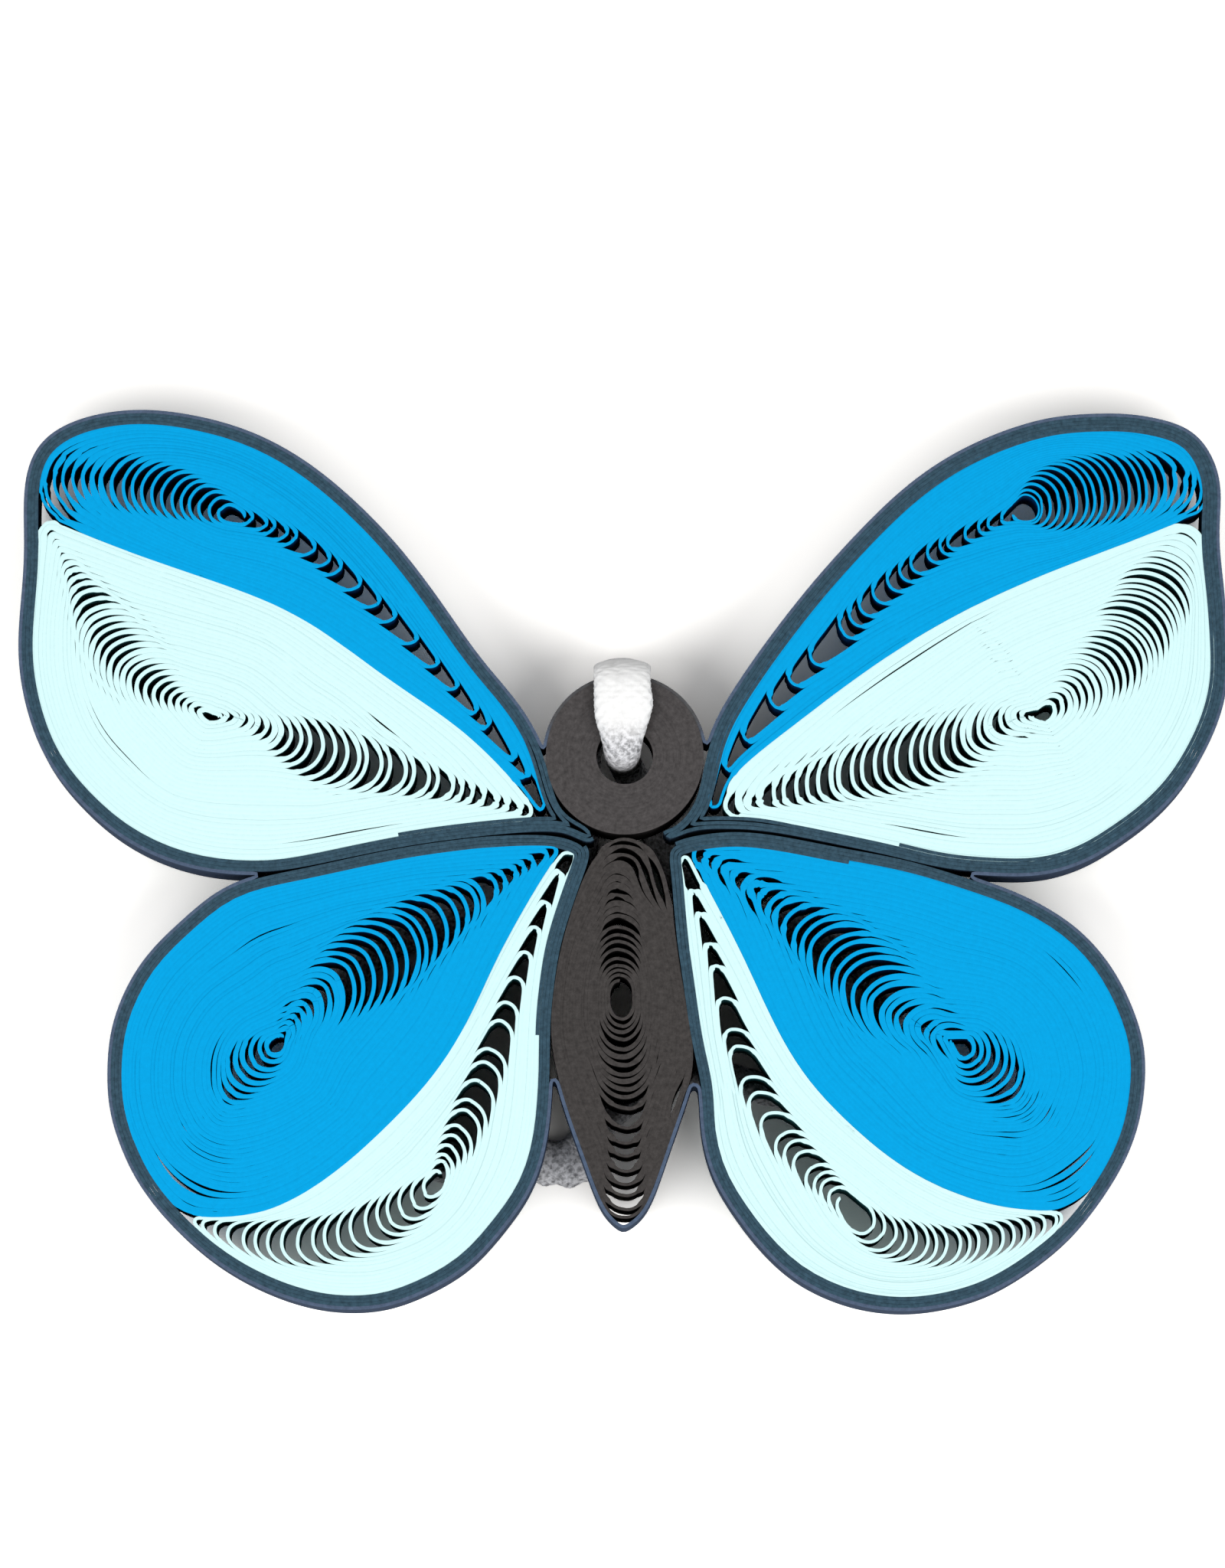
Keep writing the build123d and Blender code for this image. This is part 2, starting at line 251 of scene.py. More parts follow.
class Leaf:
    """The room in which one strip is rolled: two sides that meet at a root and a tip."""

    def __init__(self, side_a, side_b, straighter, root_line, eye, tip_line):
        """Side a runs from the root to the tip and side b back, with the room on their left.
        The straighter side finds the middle of the room. The two lines give where the noses lie."""
        self.points = np.vstack([side_a, side_b[1:-1]])
        self.inward = np.vstack([turned_left(side_a), turned_left(side_b)[1:-1]])
        self.split = len(side_a)
        self.room = room_beside(self.points, self.inward)
        centres = self.points + self.room[:, None] * self.inward
        if straighter == "a":
            middles = centres[:self.split][AXIS_SKIPS:-AXIS_SKIPS]
        else:
            middles = centres[self.split:][AXIS_SKIPS - 1:1 - AXIS_SKIPS][::-1]
        axis = evenly(np.vstack([side_a[0], middles, side_a[-1]]), AXIS_STEP)
        self.axis = evenly(softened(axis, AXIS_EASE, AXIS_STEP, closed=False), AXIS_STEP)
        self.along = lengths(self.axis)
        self.width = apart(self.axis, self.points).min(1)
        self.width = np.minimum(self.width, np.minimum(self.along, self.along[-1] - self.along))
        self.place = self.along[self.spots(centres)]
        self.eye = self.along[nearest(self.axis, eye)]
        self.ends = [self.along[nearest(self.axis, line[-1])] for line in (root_line, tip_line)]
        self.moves = self.shift_of(root_line, 0, eye) + self.shift_of(tip_line, 1, eye)

    def spots(self, points):
        """The sample of the room's middle line nearest each point."""
        return apart(points, self.axis).argmin(1)

    def shift_of(self, line, which, eye):
        """How far the line of noses lies from the middle of the room, along one end."""
        end = self.ends[which]
        last = self.along[-which]
        wanted = smooth_line(np.vstack([[eye], line]), AXIS_STEP)
        share = (self.along - self.eye) / (end - self.eye)
        target = at_lengths(wanted, np.clip(share, 0, 1) * lengths(wanted)[-1])
        between = at_lengths(self.axis, self.eye + np.clip(share, 0, 1) * (end - self.eye))
        fade = np.clip((self.along - last) / (end - last + SLIGHT), 0, 1)
        here = (share > 0) if which else (share >= 0)
        return (target - between) * (fade * here)[:, None]

    def pack(self, turns, noses, voids, reaches):
        """Settles how thick the turns lie along the room, so that the gaps at the noses are as
        wide as seen: half widths in millimetres against shares of the way, for each end. A turn
        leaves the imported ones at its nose's base, before the nose by its reach."""
        self.usual = (np.interp(self.eye, self.along, self.width) - voids[0][0][1]) / (turns - 0.5)
        pitch = np.empty_like(self.along)
        for which, sign in ENDS:
            side = self.along >= self.eye if which else self.along < self.eye
            way = abs(self.ends[which] - self.eye)
            nose = sign * (noses[which] - self.eye)
            gap = np.interp(nose / way, *zip(*voids[which]))
            base = np.maximum.accumulate(np.maximum(nose - reaches[which] * gap, 0))
            base += SLIGHT * np.arange(turns)
            away = sign * (self.along[side] - self.eye)
            passed = np.interp(away, base, np.arange(turns))
            opening = np.interp(away, base, gap)
            pitch[side] = (self.width[side] - opening) / np.maximum(turns - passed - 0.5, 0.5)
        pitch = np.clip(pitch, LOOSENED[0] * self.usual, LOOSENED[1] * self.usual)
        self.pitch = softened(pitch[:, None], PITCH_EASE, AXIS_STEP, closed=False)[:, 0]

    def ring(self, layers, noses, reaches):
        """One closed turn that so many layers lie outside, with its noses at two lengths along
        the axis. Gives the ring as two halves, root to tip and tip to root."""
        gap = self.width - layers * self.pitch
        depth = layers * np.interp(self.place, self.along, self.pitch)
        inside = self.along[gap > NARROWEST]
        root_tips = np.maximum.accumulate(self.along - reaches[0] * gap)
        tip_tips = np.maximum.accumulate(self.along + reaches[1] * gap)
        far_root = np.clip(np.interp(noses[0], root_tips, self.along), inside[0], inside[-1])
        far_tip = np.clip(np.interp(noses[1], tip_tips, self.along), inside[0], inside[-1])
        if far_root > far_tip:
            far_root = far_tip = (far_root + far_tip) / 2
        keep = (self.place >= far_root) & (self.place <= far_tip) & (self.room > depth + SPARE_ROOM)
        flank = self.points + depth[:, None] * self.inward
        side_a = flank[:self.split][keep[:self.split]]
        side_b = flank[self.split:][keep[self.split:]]
        parts, nose_lines = [], []
        for far, sign, reach in ((far_tip, 1, reaches[1]), (far_root, -1, reaches[0])):
            centre = at_lengths(self.axis, [far])[0]
            radius = max(NARROWEST, np.interp(far, self.along, gap))
            before, after = at_lengths(self.axis, [far - NOSE_LOOK, far + NOSE_LOOK])
            towards = (after - before) * sign
            aside = np.array([-towards[1], towards[0]])
            first, second = (side_a, side_b) if sign > 0 else (side_b, side_a)
            start = first[-1] - centre if len(first) else -aside
            end = second[0] - centre if len(second) else aside
            nose_lines.append(sweep(centre, radius, reach, start, end, towards))
            parts += [first, nose_lines[-1]] if len(first) else [nose_lines[-1]]
        loop = np.vstack(parts + [parts[0][:1]])
        run = lengths(loop)
        marks = [run[nearest(loop[:-1], nose[len(nose) // 2])] for nose in nose_lines]
        loop = evenly(loop, RING_STEP)[:-1]
        loop = softened(loop, min(RING_EASE, RING_EASE_SHARE * len(loop) * RING_STEP), RING_STEP)
        loop = self.shifted(loop)
        at_tip, at_root = (round(mark / RING_STEP) % len(loop) for mark in marks)
        return stretch(loop, at_root, at_tip), stretch(loop, at_tip, at_root)

    def shifted(self, points):
        """Points moved from the middle of the room towards the line of noses, none at the rim."""
        spots = self.spots(points)
        depth = apart(points, self.points[::2]).min(1)
        share = np.clip(depth / (self.width[spots] + SPARE_ROOM), 0, 1)
        return points + self.moves[spots] * share[:, None]

    def pitch_beside(self, points):
        """How thick the turns lie beside points of the room."""
        return self.pitch[self.spots(points)]

    def thickness(self, ring, neighbours):
        """A turn's thickness: up to its neighbours where it lies packed, the paper's own where it
        stands free."""
        pitch = self.pitch_beside(ring)
        neighbours = [evenly(other, NEIGHBOUR_STEP) for other in neighbours]
        spacing = np.min([apart(ring, other).min(1) for other in neighbours], axis=0)
        free = np.clip((spacing / pitch - STANDS_FREE[0]) / (STANDS_FREE[1] - STANDS_FREE[0]), 0, 1)
        packed = np.clip(spacing, LOOSENED[0] * pitch, STANDS_FREE[0] * pitch)
        return packed + (np.minimum(packed, NOSE_PAPER * self.usual) - packed) * free


def sampled_half(half):
    """Half a ring as a fixed number of samples, crowded towards its two noses."""
    u = np.linspace(0, 1, HALF_SAMPLES)
    share = u - NOSE_CROWDING * np.sin(2 * np.pi * u) / (2 * np.pi)
    return at_lengths(half, share * lengths(half)[-1])


def opened(ring, turn, turns, leaf, slits):
    """A turn pushed towards the eye beside each slit that lies outside it."""
    centre = at_lengths(leaf.axis, [leaf.eye])[0]
    for first, last, width in slits:
        middle, along = (first + last) / 2, (last - first) / 2
        depth = np.linalg.norm(leaf.points - middle, axis=1).min()
        outermost = int(turns - depth / leaf.pitch_beside(middle[None])[0])
        if turn > outermost:
            continue
        reach = np.linalg.norm(along)
        along = along / reach
        across = np.array([-along[1], along[0]])
        if across @ (centre - middle) < 0:
            across = -across
        away = ring - middle
        share = np.clip(1 - (away @ along / reach) ** 2, 0, 1) ** SLIT_TAPER
        near = hump(away @ across, 0, SLIT_REACH)
        fade = np.exp(-(outermost - turn) / SLIT_FADE)
        ring = ring + (share * near)[:, None] * across * width * fade
    return ring


def rolled(leaf, turns, seed, fans, slits, first_nose=FIRST_NOSE):
    """The centre line of one strip rolled into a leaf, from its eye out, with each point's turn
    and thickness. The two fans give the spread, the gaps and the reach of the noses."""
    rng = np.random.default_rng(seed)
    spreads, gaps, reaches = zip(*fans)
    gaps = [[(share, half * PIXEL) for share, half in voids] for voids in gaps]
    noses = []
    for which, sign in ENDS:
        way = abs(leaf.ends[which] - leaf.eye) - first_nose
        places = first_nose + way * np.interp(np.linspace(0, 1, turns), *zip(*spreads[which]))
        ahead = np.diff(places, append=places[-1])
        noses.append(leaf.eye + sign * (places + NOSE_WANDER * rng.uniform(-0.5, 0.5, turns) * ahead))
    leaf.pack(turns, noses, gaps, reaches)
    rings = []
    for turn in range(turns):
        halves = leaf.ring(turns - turn - 0.5, (noses[0][turn], noses[1][turn]), reaches)
        whole = np.vstack([sampled_half(halves[0])[:-1], sampled_half(halves[1])])
        rings.append(opened(whole, turn, turns, leaf, slits))
    beside = [[rings[i] for i in (turn - 1, turn + 1) if 0 <= i < turns] for turn in range(turns)]
    rings = [np.column_stack([ring, leaf.thickness(ring, near)]) for ring, near in zip(rings, beside)]
    share = np.linspace(0, 1, len(rings[0]))[:, None]
    outer_rings = rings[1:] + rings[-1:]
    line = [(ring * (1 - share) + outer * share)[:-1] for ring, outer in zip(rings, outer_rings)]
    turn_of = np.repeat(np.arange(turns), len(share) - 1)
    line = np.vstack(line)
    return line[:, :2], turn_of, line[:, 2]


# Meshes.

def made_object(name, data):
    """A new object in the scene."""
    made = bpy.data.objects.new(name, data)
    bpy.context.scene.collection.objects.link(made)
    return made


def piece(name, corners, faces, material, slot, *nodes):
    """A mesh piece in metres that rides on the body and stands for CAD nodes."""
    mesh = bpy.data.meshes.new(name)
    mesh.from_pydata([tuple(float(value) * MM for value in corner) for corner in corners], [], faces)
    mesh.validate()
    mesh.update()
    mesh.materials.append(material)
    made = made_object(name, mesh)
    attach(made, "root")
    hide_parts(*nodes)
    return made


# How far the middle of a strip's cut edge stands above its sides, how far turns differ in height,
# and the samples over which a turn's height passes to the next one's.
RIDGE = 0.012
TOP_WAVER = 0.03
WAVER_SAMPLES = 2 * HALF_SAMPLES
# A strip's section: each corner's side of the line, its height, and whether that wavers.
SECTION = (
    (1, BACK, 0), (1, FRONT - RIDGE, 1), (0, FRONT, 1), (-1, FRONT - RIDGE, 1), (-1, BACK, 0),
)


def strip(line, thickness, seed, turn_of=None, closed=False):
    """A strip of paper on edge along a line: corners and faces, with its cut edge slightly ridged."""
    count = len(line)
    side = turned_left(line, closed) * np.broadcast_to(thickness, count)[:, None] / 2
    if turn_of is None:
        turns = np.zeros(count, int)
        share = np.linspace(0, 1, count)
    else:
        turns = turn_of
        share = (np.arange(count) % WAVER_SAMPLES) / WAVER_SAMPLES
    lift = np.random.default_rng(seed).uniform(-TOP_WAVER, TOP_WAVER, turns.max() + 2)
    lift = lift[turns] * (1 - share) + lift[turns + 1] * share
    corners = []
    for outwards, height, waver in SECTION:
        level = height + (lift - TOP_WAVER) * waver
        corners.append(np.column_stack([line + side * outwards, level]))
    corners = np.stack(corners, axis=1).reshape(-1, 3)
    faces = []
    rows = len(SECTION)
    for i in range(count if closed else count - 1):
        a, b = i * rows, ((i + 1) % count) * rows
        for j in range(rows):
            k = (j + 1) % rows
            faces.append((a + j, b + j, b + k, a + k))
    if not closed:
        faces.append(tuple(range(rows)))
        faces.append(tuple((count - 1) * rows + j for j in reversed(range(rows))))
    return corners, faces


def tube(rings, around, flipped=False):
    """Faces of a tube of rings, and for each of their corners its place round the ring, counted
    on past the seam, and its ring."""
    faces, woven = [], []
    for i in range(rings - 1):
        for j in range(around):
            corners = [(j, i), (j + 1, i), (j + 1, i + 1), (j, i + 1)]
            if flipped:
                corners = corners[:1] + corners[:0:-1]
            faces.append(tuple(ring * around + place % around for place, ring in corners))
            woven += corners
    return faces, woven


# Finishes.

# How strongly all relief shows.
RELIEF = 0.35


class Value:
    """A shader socket with the arithmetic of a number."""

    def __init__(self, finish, socket):
        self.finish, self.socket = finish, socket

    def worked(self, operation, *numbers):
        """What a Math node makes of sockets and numbers."""
        return self.finish.node("ShaderNodeMath", {"operation": operation}, dict(enumerate(numbers)))

    def __add__(self, other):
        return self.worked("ADD", self, other)

    def __sub__(self, other):
        return self.worked("SUBTRACT", self, other)

    def __rsub__(self, other):
        return self.worked("SUBTRACT", other, self)

    def __mul__(self, other):
        return self.worked("MULTIPLY", self, other)

    def __abs__(self):
        return self.worked("ABSOLUTE", self)

    def sine(self):
        return self.worked("SINE", self)

    def above(self, limit):
        return self.worked("GREATER_THAN", self, limit)

    def below(self, limit):
        return self.worked("LESS_THAN", self, limit)

    def larger(self, other):
        return self.worked("MAXIMUM", self, other)

    __radd__, __rmul__ = __add__, __mul__


class Finish:
    """A procedural material, built node by node."""

    def __init__(self, name):
        self.material = bpy.data.materials.new(name)
        self.material.use_nodes = True
        self.tree = self.material.node_tree
        self.tree.nodes.clear()

    def node(self, kind, settings, inputs, output=0):
        """A node with its settings made first, then its sockets' values or links."""
        made = self.tree.nodes.new(kind)
        for name, value in settings.items():
            setattr(made, name, value)
        for name, value in inputs.items():
            if isinstance(value, Value):
                self.tree.links.new(value.socket, made.inputs[name])
            else:
                made.inputs[name].default_value = value
        return Value(self, made.outputs[output]) if made.outputs else None

    def where(self):
        """The place on the piece, in metres."""
        return self.node("ShaderNodeTexCoord", {}, {}, "Object")

    def axis(self, vector, letter):
        """One axis of a vector."""
        return self.node("ShaderNodeSeparateXYZ", {}, {0: vector}, letter)

    def mix(self, share, first, second):
        """Two colours mixed by a share."""
        first, second = ((*c, 1) if isinstance(c, tuple) else c for c in (first, second))
        return self.node("ShaderNodeMix", {"data_type": "RGBA"}, {0: share, 6: first, 7: second}, 2)

    def scaled(self, colour, amount):
        """A colour made darker or lighter."""
        return self.node("ShaderNodeVectorMath", {"operation": "SCALE"}, {0: colour, "Scale": amount})

    def noise(self, where, scale, detail, rough=0.5):
        """Noise from 0 to 1 at so many waves to the millimetre."""
        return self.node(
            "ShaderNodeTexNoise", {},
            {"Vector": where, "Scale": scale / MM, "Detail": detail, "Roughness": rough},
        )

    def passing(self, place, span, before=0.0, beyond=1.0):
        """A value that changes softly over a span in millimetres."""
        start, end = (edge * MM for edge in span)
        return self.node(
            "ShaderNodeMapRange", {"interpolation_type": "SMOOTHSTEP"},
            {"Value": place, "From Min": start, "From Max": end, "To Min": before, "To Max": beyond},
        )

    def bump(self, height, depth):
        """Relief of so many millimetres."""
        return self.node(
            "ShaderNodeBump", {}, {"Strength": RELIEF, "Distance": depth * MM, "Height": height},
        )

    def shader(self, **inputs):
        """The principled shader, joined to the output."""
        return self.surface(self.node("ShaderNodeBsdfPrincipled", {}, inputs))

    def surface(self, shader):
        """The finished material, with a shader as its surface."""
        self.node("ShaderNodeOutputMaterial", {}, {"Surface": shader})
        return self.material


def linear(red, green, blue):
    """A screen colour of 0 to 255 as the light values that a material holds."""
    return tuple(
        (v / 255 / 12.92) if v / 255 <= 0.04045 else ((v / 255 + 0.055) / 1.055) ** 2.4
        for v in (red, green, blue)
    )


# The head's middle in the photo, and its radius in millimetres.
HEAD_MIDDLE = (816, 987)
HEAD_RADIUS = 4.7
# The stretch of the frame's Y over which the outer strip turns to the head's colour, and how far
# from the middle line it does.
OVER_HEAD = (6.6, 8.6)
BESIDE_HEAD = 1.06 * HEAD_RADIUS
# The paper's clouds of dye and its fibres, in waves to the millimetre, how strongly they show
# against a paper's speck, and how far they darken and lighten it.
CLOUDS = 0.35
FIBRES = 3.0
CLOUD_CONTRAST = 2
FIBRE_CONTRAST = 12
DARKER = 0.62
LIGHTER = 1.35
PAPER_RELIEF = 0.03
PAPER_ROUGHNESS = 0.85
PAPER_SHEEN = 0.08


def paper(name, edge, shaded_face, speck, over_head=None):
    """Dyed paper seen on edge: a paler cut edge with fibres, and smoother faces painted much darker, a
    little for their deeper dye and mostly as painted shade for the deep gaps between turns. A strip that
    also wraps the head takes another edge colour there."""
    finish = Finish(name)
    where = finish.where()
    normal = finish.node("ShaderNodeNewGeometry", {}, {}, "Normal")
    on_edge = abs(finish.axis(normal, "Z")).above(0.5)
    cloud = finish.noise(where, CLOUDS, 3.0)
    fibre = finish.noise(where, FIBRES, 5.0, 0.75)
    if over_head:
        beyond = finish.passing(finish.axis(where, "Y"), OVER_HEAD)
        beside = (BESIDE_HEAD * MM - abs(finish.axis(where, "X"))).above(0)
        edge = finish.mix(beyond * beside, edge, over_head)
    # Sideways faces take the darker face colour: painted shade for the deep gaps between turns.
    tone = finish.mix(on_edge, shaded_face, edge)
    dark = finish.scaled(tone, DARKER)
    light = finish.scaled(tone, LIGHTER)
    tone = finish.mix((fibre - 0.5) * on_edge * (speck * FIBRE_CONTRAST) + 0.5, dark, light)
    tone = finish.mix((0.5 - cloud) * (speck * CLOUD_CONTRAST), tone, dark)
    return finish.shader(**{
        "Base Color": tone, "Roughness": PAPER_ROUGHNESS, "Specular IOR Level": PAPER_SHEEN,
        "Normal": finish.bump(fibre, PAPER_RELIEF),
    })


# Each paper: its cut edge's colour, then its faces', in most papers darkened as painted shade for the gaps
# between turns, then how strongly its specks show.
BLUE = paper("bright_blue_paper", linear(0, 163, 226), linear(0, 64, 120), 0.03)
PALE = paper("pale_aqua_paper", linear(214, 249, 250), linear(52, 108, 112), 0.015)
SLATE = paper("slate_blue_paper", linear(54, 79, 94), linear(56, 76, 98), 0.22)
STRIP_PAPER = paper(
    "slate_lavender_paper", linear(80, 95, 118), linear(64, 80, 104), 0.14, over_head=linear(80, 80, 82),
)
CHARCOAL = paper("charcoal_paper", linear(75, 72, 72), linear(40, 37, 37), 0.2)
BODY_PAPER = paper("charcoal_body_paper", linear(66, 63, 62), linear(36, 33, 33), 0.2)

# The white of the painted highlight on the cord over the head, the frayed fibres' white, and the plaits'
# dark and light.
PAINTED_HIGHLIGHT_YARN = linear(254, 254, 253)
FRAYED_YARN = linear(252, 252, 252)
PLAITED_DARK = linear(72, 72, 78)
PLAITED_LIGHT = linear(232, 232, 236)
# Plaits seen round the cord, the length of one in millimetres, and their share against the speckle's in what
# is seen of the cord below the painted highlight.
PLAITS_AROUND = 9
PLAIT_SEEN = 0.7
PLAIT_SHARE = 0.35
# The yarn's speckle and fibres in waves to the millimetre, the noise from which the speckle is
# dark and from which it is light, and how far the fibres fray the colour and the relief.
YARN_SPECKLE = 4.2
YARN_FIBRES = 14.0
SPECKLE_NOISE = (0.38, 0.6)
FRAYED = 0.2
FRAYED_RELIEF = 0.6
# The stretch of the frame's Y over which a painted highlight turns the cord white above the head's hole, and
# how clearly the plaits show before it, within it and behind the butterfly, where the painted highlight is
# mostly held back.
PAINTED_HIGHLIGHT_SPAN = (6.6, 8.6)
PLAITS_BELOW_HIGHLIGHT = 0.95
PLAITS_IN_HIGHLIGHT = 0.1
PLAITS_BEHIND = 0.6
YARN_RELIEF = 0.05
YARN_ROUGHNESS = 0.6
YARN_SHEEN = 0.2


def braid_finish():
    """White and silver yarn, plaited fine, painted white over the head's front as a painted highlight, its
    plaits and speckle showing below that and behind the butterfly.
    """
    finish = Finish("silver_white_braid")
    where = finish.where()
    fibre = finish.noise(where, YARN_FIBRES, 3.0, 0.6)
    speckle = finish.noise(where, YARN_SPECKLE, 2.0, 0.6)
    speckle = finish.node(
        "ShaderNodeMapRange", {},
        {"Value": speckle, "From Min": SPECKLE_NOISE[0], "From Max": SPECKLE_NOISE[1]},
    )
    place = finish.node("ShaderNodeUVMap", {"uv_map": "braid"}, {})
    around = finish.axis(place, "X") * (2 * np.pi * PLAITS_AROUND)
    along = finish.axis(place, "Y") * (2 * np.pi / PLAIT_SEEN)
    weave = (around + along).sine().larger((around - along).sine()) * 0.5 + 0.5
    shine = weave * PLAIT_SHARE + speckle * (1 - PLAIT_SHARE)
    plaited = finish.mix(shine, PLAITED_DARK, PLAITED_LIGHT)
    # Painted highlight: the cord turns white over the head's front with its plaits nearly gone; behind the
    # butterfly most of the plaits come back.
    plaits_outside_highlight = finish.passing(finish.axis(where, "Y"), PAINTED_HIGHLIGHT_SPAN, PLAITS_BELOW_HIGHLIGHT, PLAITS_IN_HIGHLIGHT)
    behind = finish.axis(where, "Z").below(0.0) * PLAITS_BEHIND
    tone = finish.mix(plaits_outside_highlight.larger(behind), PAINTED_HIGHLIGHT_YARN, plaited)
    tone = finish.mix(fibre * FRAYED, tone, FRAYED_YARN)
    return finish.shader(**{
        "Base Color": tone, "Roughness": YARN_ROUGHNESS, "Specular IOR Level": YARN_SHEEN,
        "Normal": finish.bump(weave + fibre * FRAYED_RELIEF, YARN_RELIEF),
    })


BRAID = braid_finish()


# The photographer's stage. Lengths here are in metres.

CAMERA_TILT = np.radians(4.0)
CAMERA_AWAY = 0.9
SENSOR = 36.0
# The floor's colour as it lights the paper, and as the camera sees it: past white, so that the
# background is blown out as in the photo and only the deepest shadows are left.
FLOOR_LIGHTS = (0.55, 0.55, 0.55)
FLOOR_SEEN = (1.66, 1.63, 1.58)
FLOOR_REACH = 0.6
SKY_COLOUR = (1, 1, 1, 1)
SKY_STRENGTH = 0.5
LAMP_PLACE = (0.30, -0.22, 0.56)
LAMP_SIZE = 0.42
LAMP_POWER = 1.75


def add_camera():
    """A long lens almost straight above, leaning a little to the butterfly's tail."""
    middle = photo((PHOTO_SIZE[0] / 2, PHOTO_SIZE[1] / 2))[0]
    aim = Vector((middle[0], middle[1], FRONT)) * MM
    away = Vector((0, -np.sin(CAMERA_TILT), np.cos(CAMERA_TILT)))
    data = bpy.data.cameras.new("camera")
    data.sensor_width = SENSOR
    data.lens = SENSOR * CAMERA_AWAY / (PHOTO_SIZE[1] * PIXEL * MM)
    data.clip_start, data.clip_end = 0.05, 20
    camera = made_object("camera", data)
    camera.location = aim + away * CAMERA_AWAY
    camera.rotation_euler = away.to_track_quat("Z", "Y").to_euler()
    bpy.context.scene.camera = camera


def add_floor():
    """A white floor that keeps soft shadows."""
    finish = Finish("white_floor")
    seen = finish.node("ShaderNodeLightPath", {}, {}, "Is Camera Ray")
    colour = finish.mix(seen, FLOOR_LIGHTS, FLOOR_SEEN)
    finish.surface(finish.node("ShaderNodeBsdfDiffuse", {}, {"Color": colour}))
    quarters = ((-1, -1), (1, -1), (1, 1), (-1, 1))
    corners = [(x * FLOOR_REACH, y * FLOOR_REACH, FLOOR * MM) for x, y in quarters]
    mesh = bpy.data.meshes.new("floor")
    mesh.from_pydata(corners, [], [(0, 1, 2, 3)])
    mesh.materials.append(finish.material)
    made_object("floor", mesh)


def add_lights():
    """Two soft lamps and a pale sky."""
    world = bpy.data.worlds.new("soft_room")
    world.use_nodes = True
    sky = world.node_tree.nodes["Background"]
    sky.inputs["Color"].default_value = SKY_COLOUR
    sky.inputs["Strength"].default_value = SKY_STRENGTH
    bpy.context.scene.world = world
    for side, sign in (("left", -1), ("right", 1)):
        data = bpy.data.lights.new(f"soft_lamp_{side}", "AREA")
        data.shape, data.size, data.energy = "DISK", LAMP_SIZE, LAMP_POWER
        lamp = made_object(f"soft_lamp_{side}", data)
        lamp.location = (sign * LAMP_PLACE[0], *LAMP_PLACE[1:])
        lamp.rotation_euler = lamp.location.to_track_quat("Z", "Y").to_euler()


bpy.context.scene.view_settings.view_transform = "Standard"
add_camera()
add_floor()
add_lights()


# The hanging cord.

# The cord's route, in metres as its solid has it: points with two numbers lie on the floor.
CORD_LEFT = [
    (-0.0049, -0.0179), (-0.0080, -0.0185), (-0.0120, -0.0179), (-0.0158, -0.0154), (-0.0180, -0.0117),
    (-0.0176, -0.0077), (-0.0149, -0.0048), (-0.0111, -0.0035), (-0.0073, -0.0030), (-0.0043, -0.0017),
    (-0.0025, 0.0009), (-0.0024, 0.0038), (-0.0025, 0.0068), (-0.0015, 0.0095), (-0.0002, 0.0117),
]
CORD_FOLD = [
    (-0.00015, 0.01300, -0.00260), (-0.00015, 0.01305, 0.00030), (-0.00015, 0.01270, 0.00290),
    (-0.00015, 0.01130, 0.00435), (-0.00015, 0.00920, 0.00465), (-0.00015, 0.00740, 0.00420),
    (-0.00015, 0.00635, 0.00250), (-0.00015, 0.00640, -0.00020), (-0.00010, 0.00635, -0.00285),
]
CORD_RIGHT = [
    (0.0005, 0.0054), (0.0016, 0.0034), (0.0023, 0.0009), (0.0041, -0.0015), (0.0072, -0.0029),
    (0.0111, -0.0038), (0.0146, -0.0057), (0.0161, -0.0090), (0.0146, -0.0123), (0.0112, -0.0139),
    (0.0076, -0.0132), (0.0046, -0.0122), (0.0013, -0.0130), (-0.0012, -0.0151), (-0.0029, -0.0170),
]
CORD_WIDTH = 2.0
CORD_LEVEL = (FLOOR + CORD_WIDTH / 2) * MM
# Samples round the cord and the knot, and the step along the cord.
CORD_RING = 36
CORD_STEP = 0.12

# Shares of the cord's thickness: how much flatter and wider it lies over the head, how much it
# spreads in the hole, and how far its right side bulges at the fold.
FLATTENED = 0.5
WIDENED = 0.72
SPREAD_IN_HOLE = 0.1
BULGE = 0.09
# Places along the cord from its highest point, each with how softly it is reached: where it
# becomes flat and ceases to be, where it is off the head's rim, where its crease begins, the
# middle of its stretch in the hole, and the middle of its bulge.
FLAT_FROM = (-10.0, 0.8)
FLAT_TO = (2.3, 0.55)
OFF_RIM = (-3.0, 0.8)
CREASED_FROM = (-4, 0.5)
IN_HOLE = (4, 2)
BULGES_AT = (0.2, 0.9)
# How far the flattened cord lies below its route on the head's face, and on the head's rim.
SUNK_TO_HEAD = (0.35, 0.8)
# The crease along the flattened cord: its place across, how far and how fast that wanders, its
# width and its depth.
CREASE_AT = -0.45
CREASE_WANDER = 0.1
CREASE_WAVE = 2.3
CREASE_WIDTH = 0.14
CREASE_DEPTH = 0.22
# The plaits in the cord's form: how many round it, the length of one, and their depth.
PLAIT_WAVES = 8
PLAIT_LENGTH = 0.85
PLAIT_RELIEF = 0.05


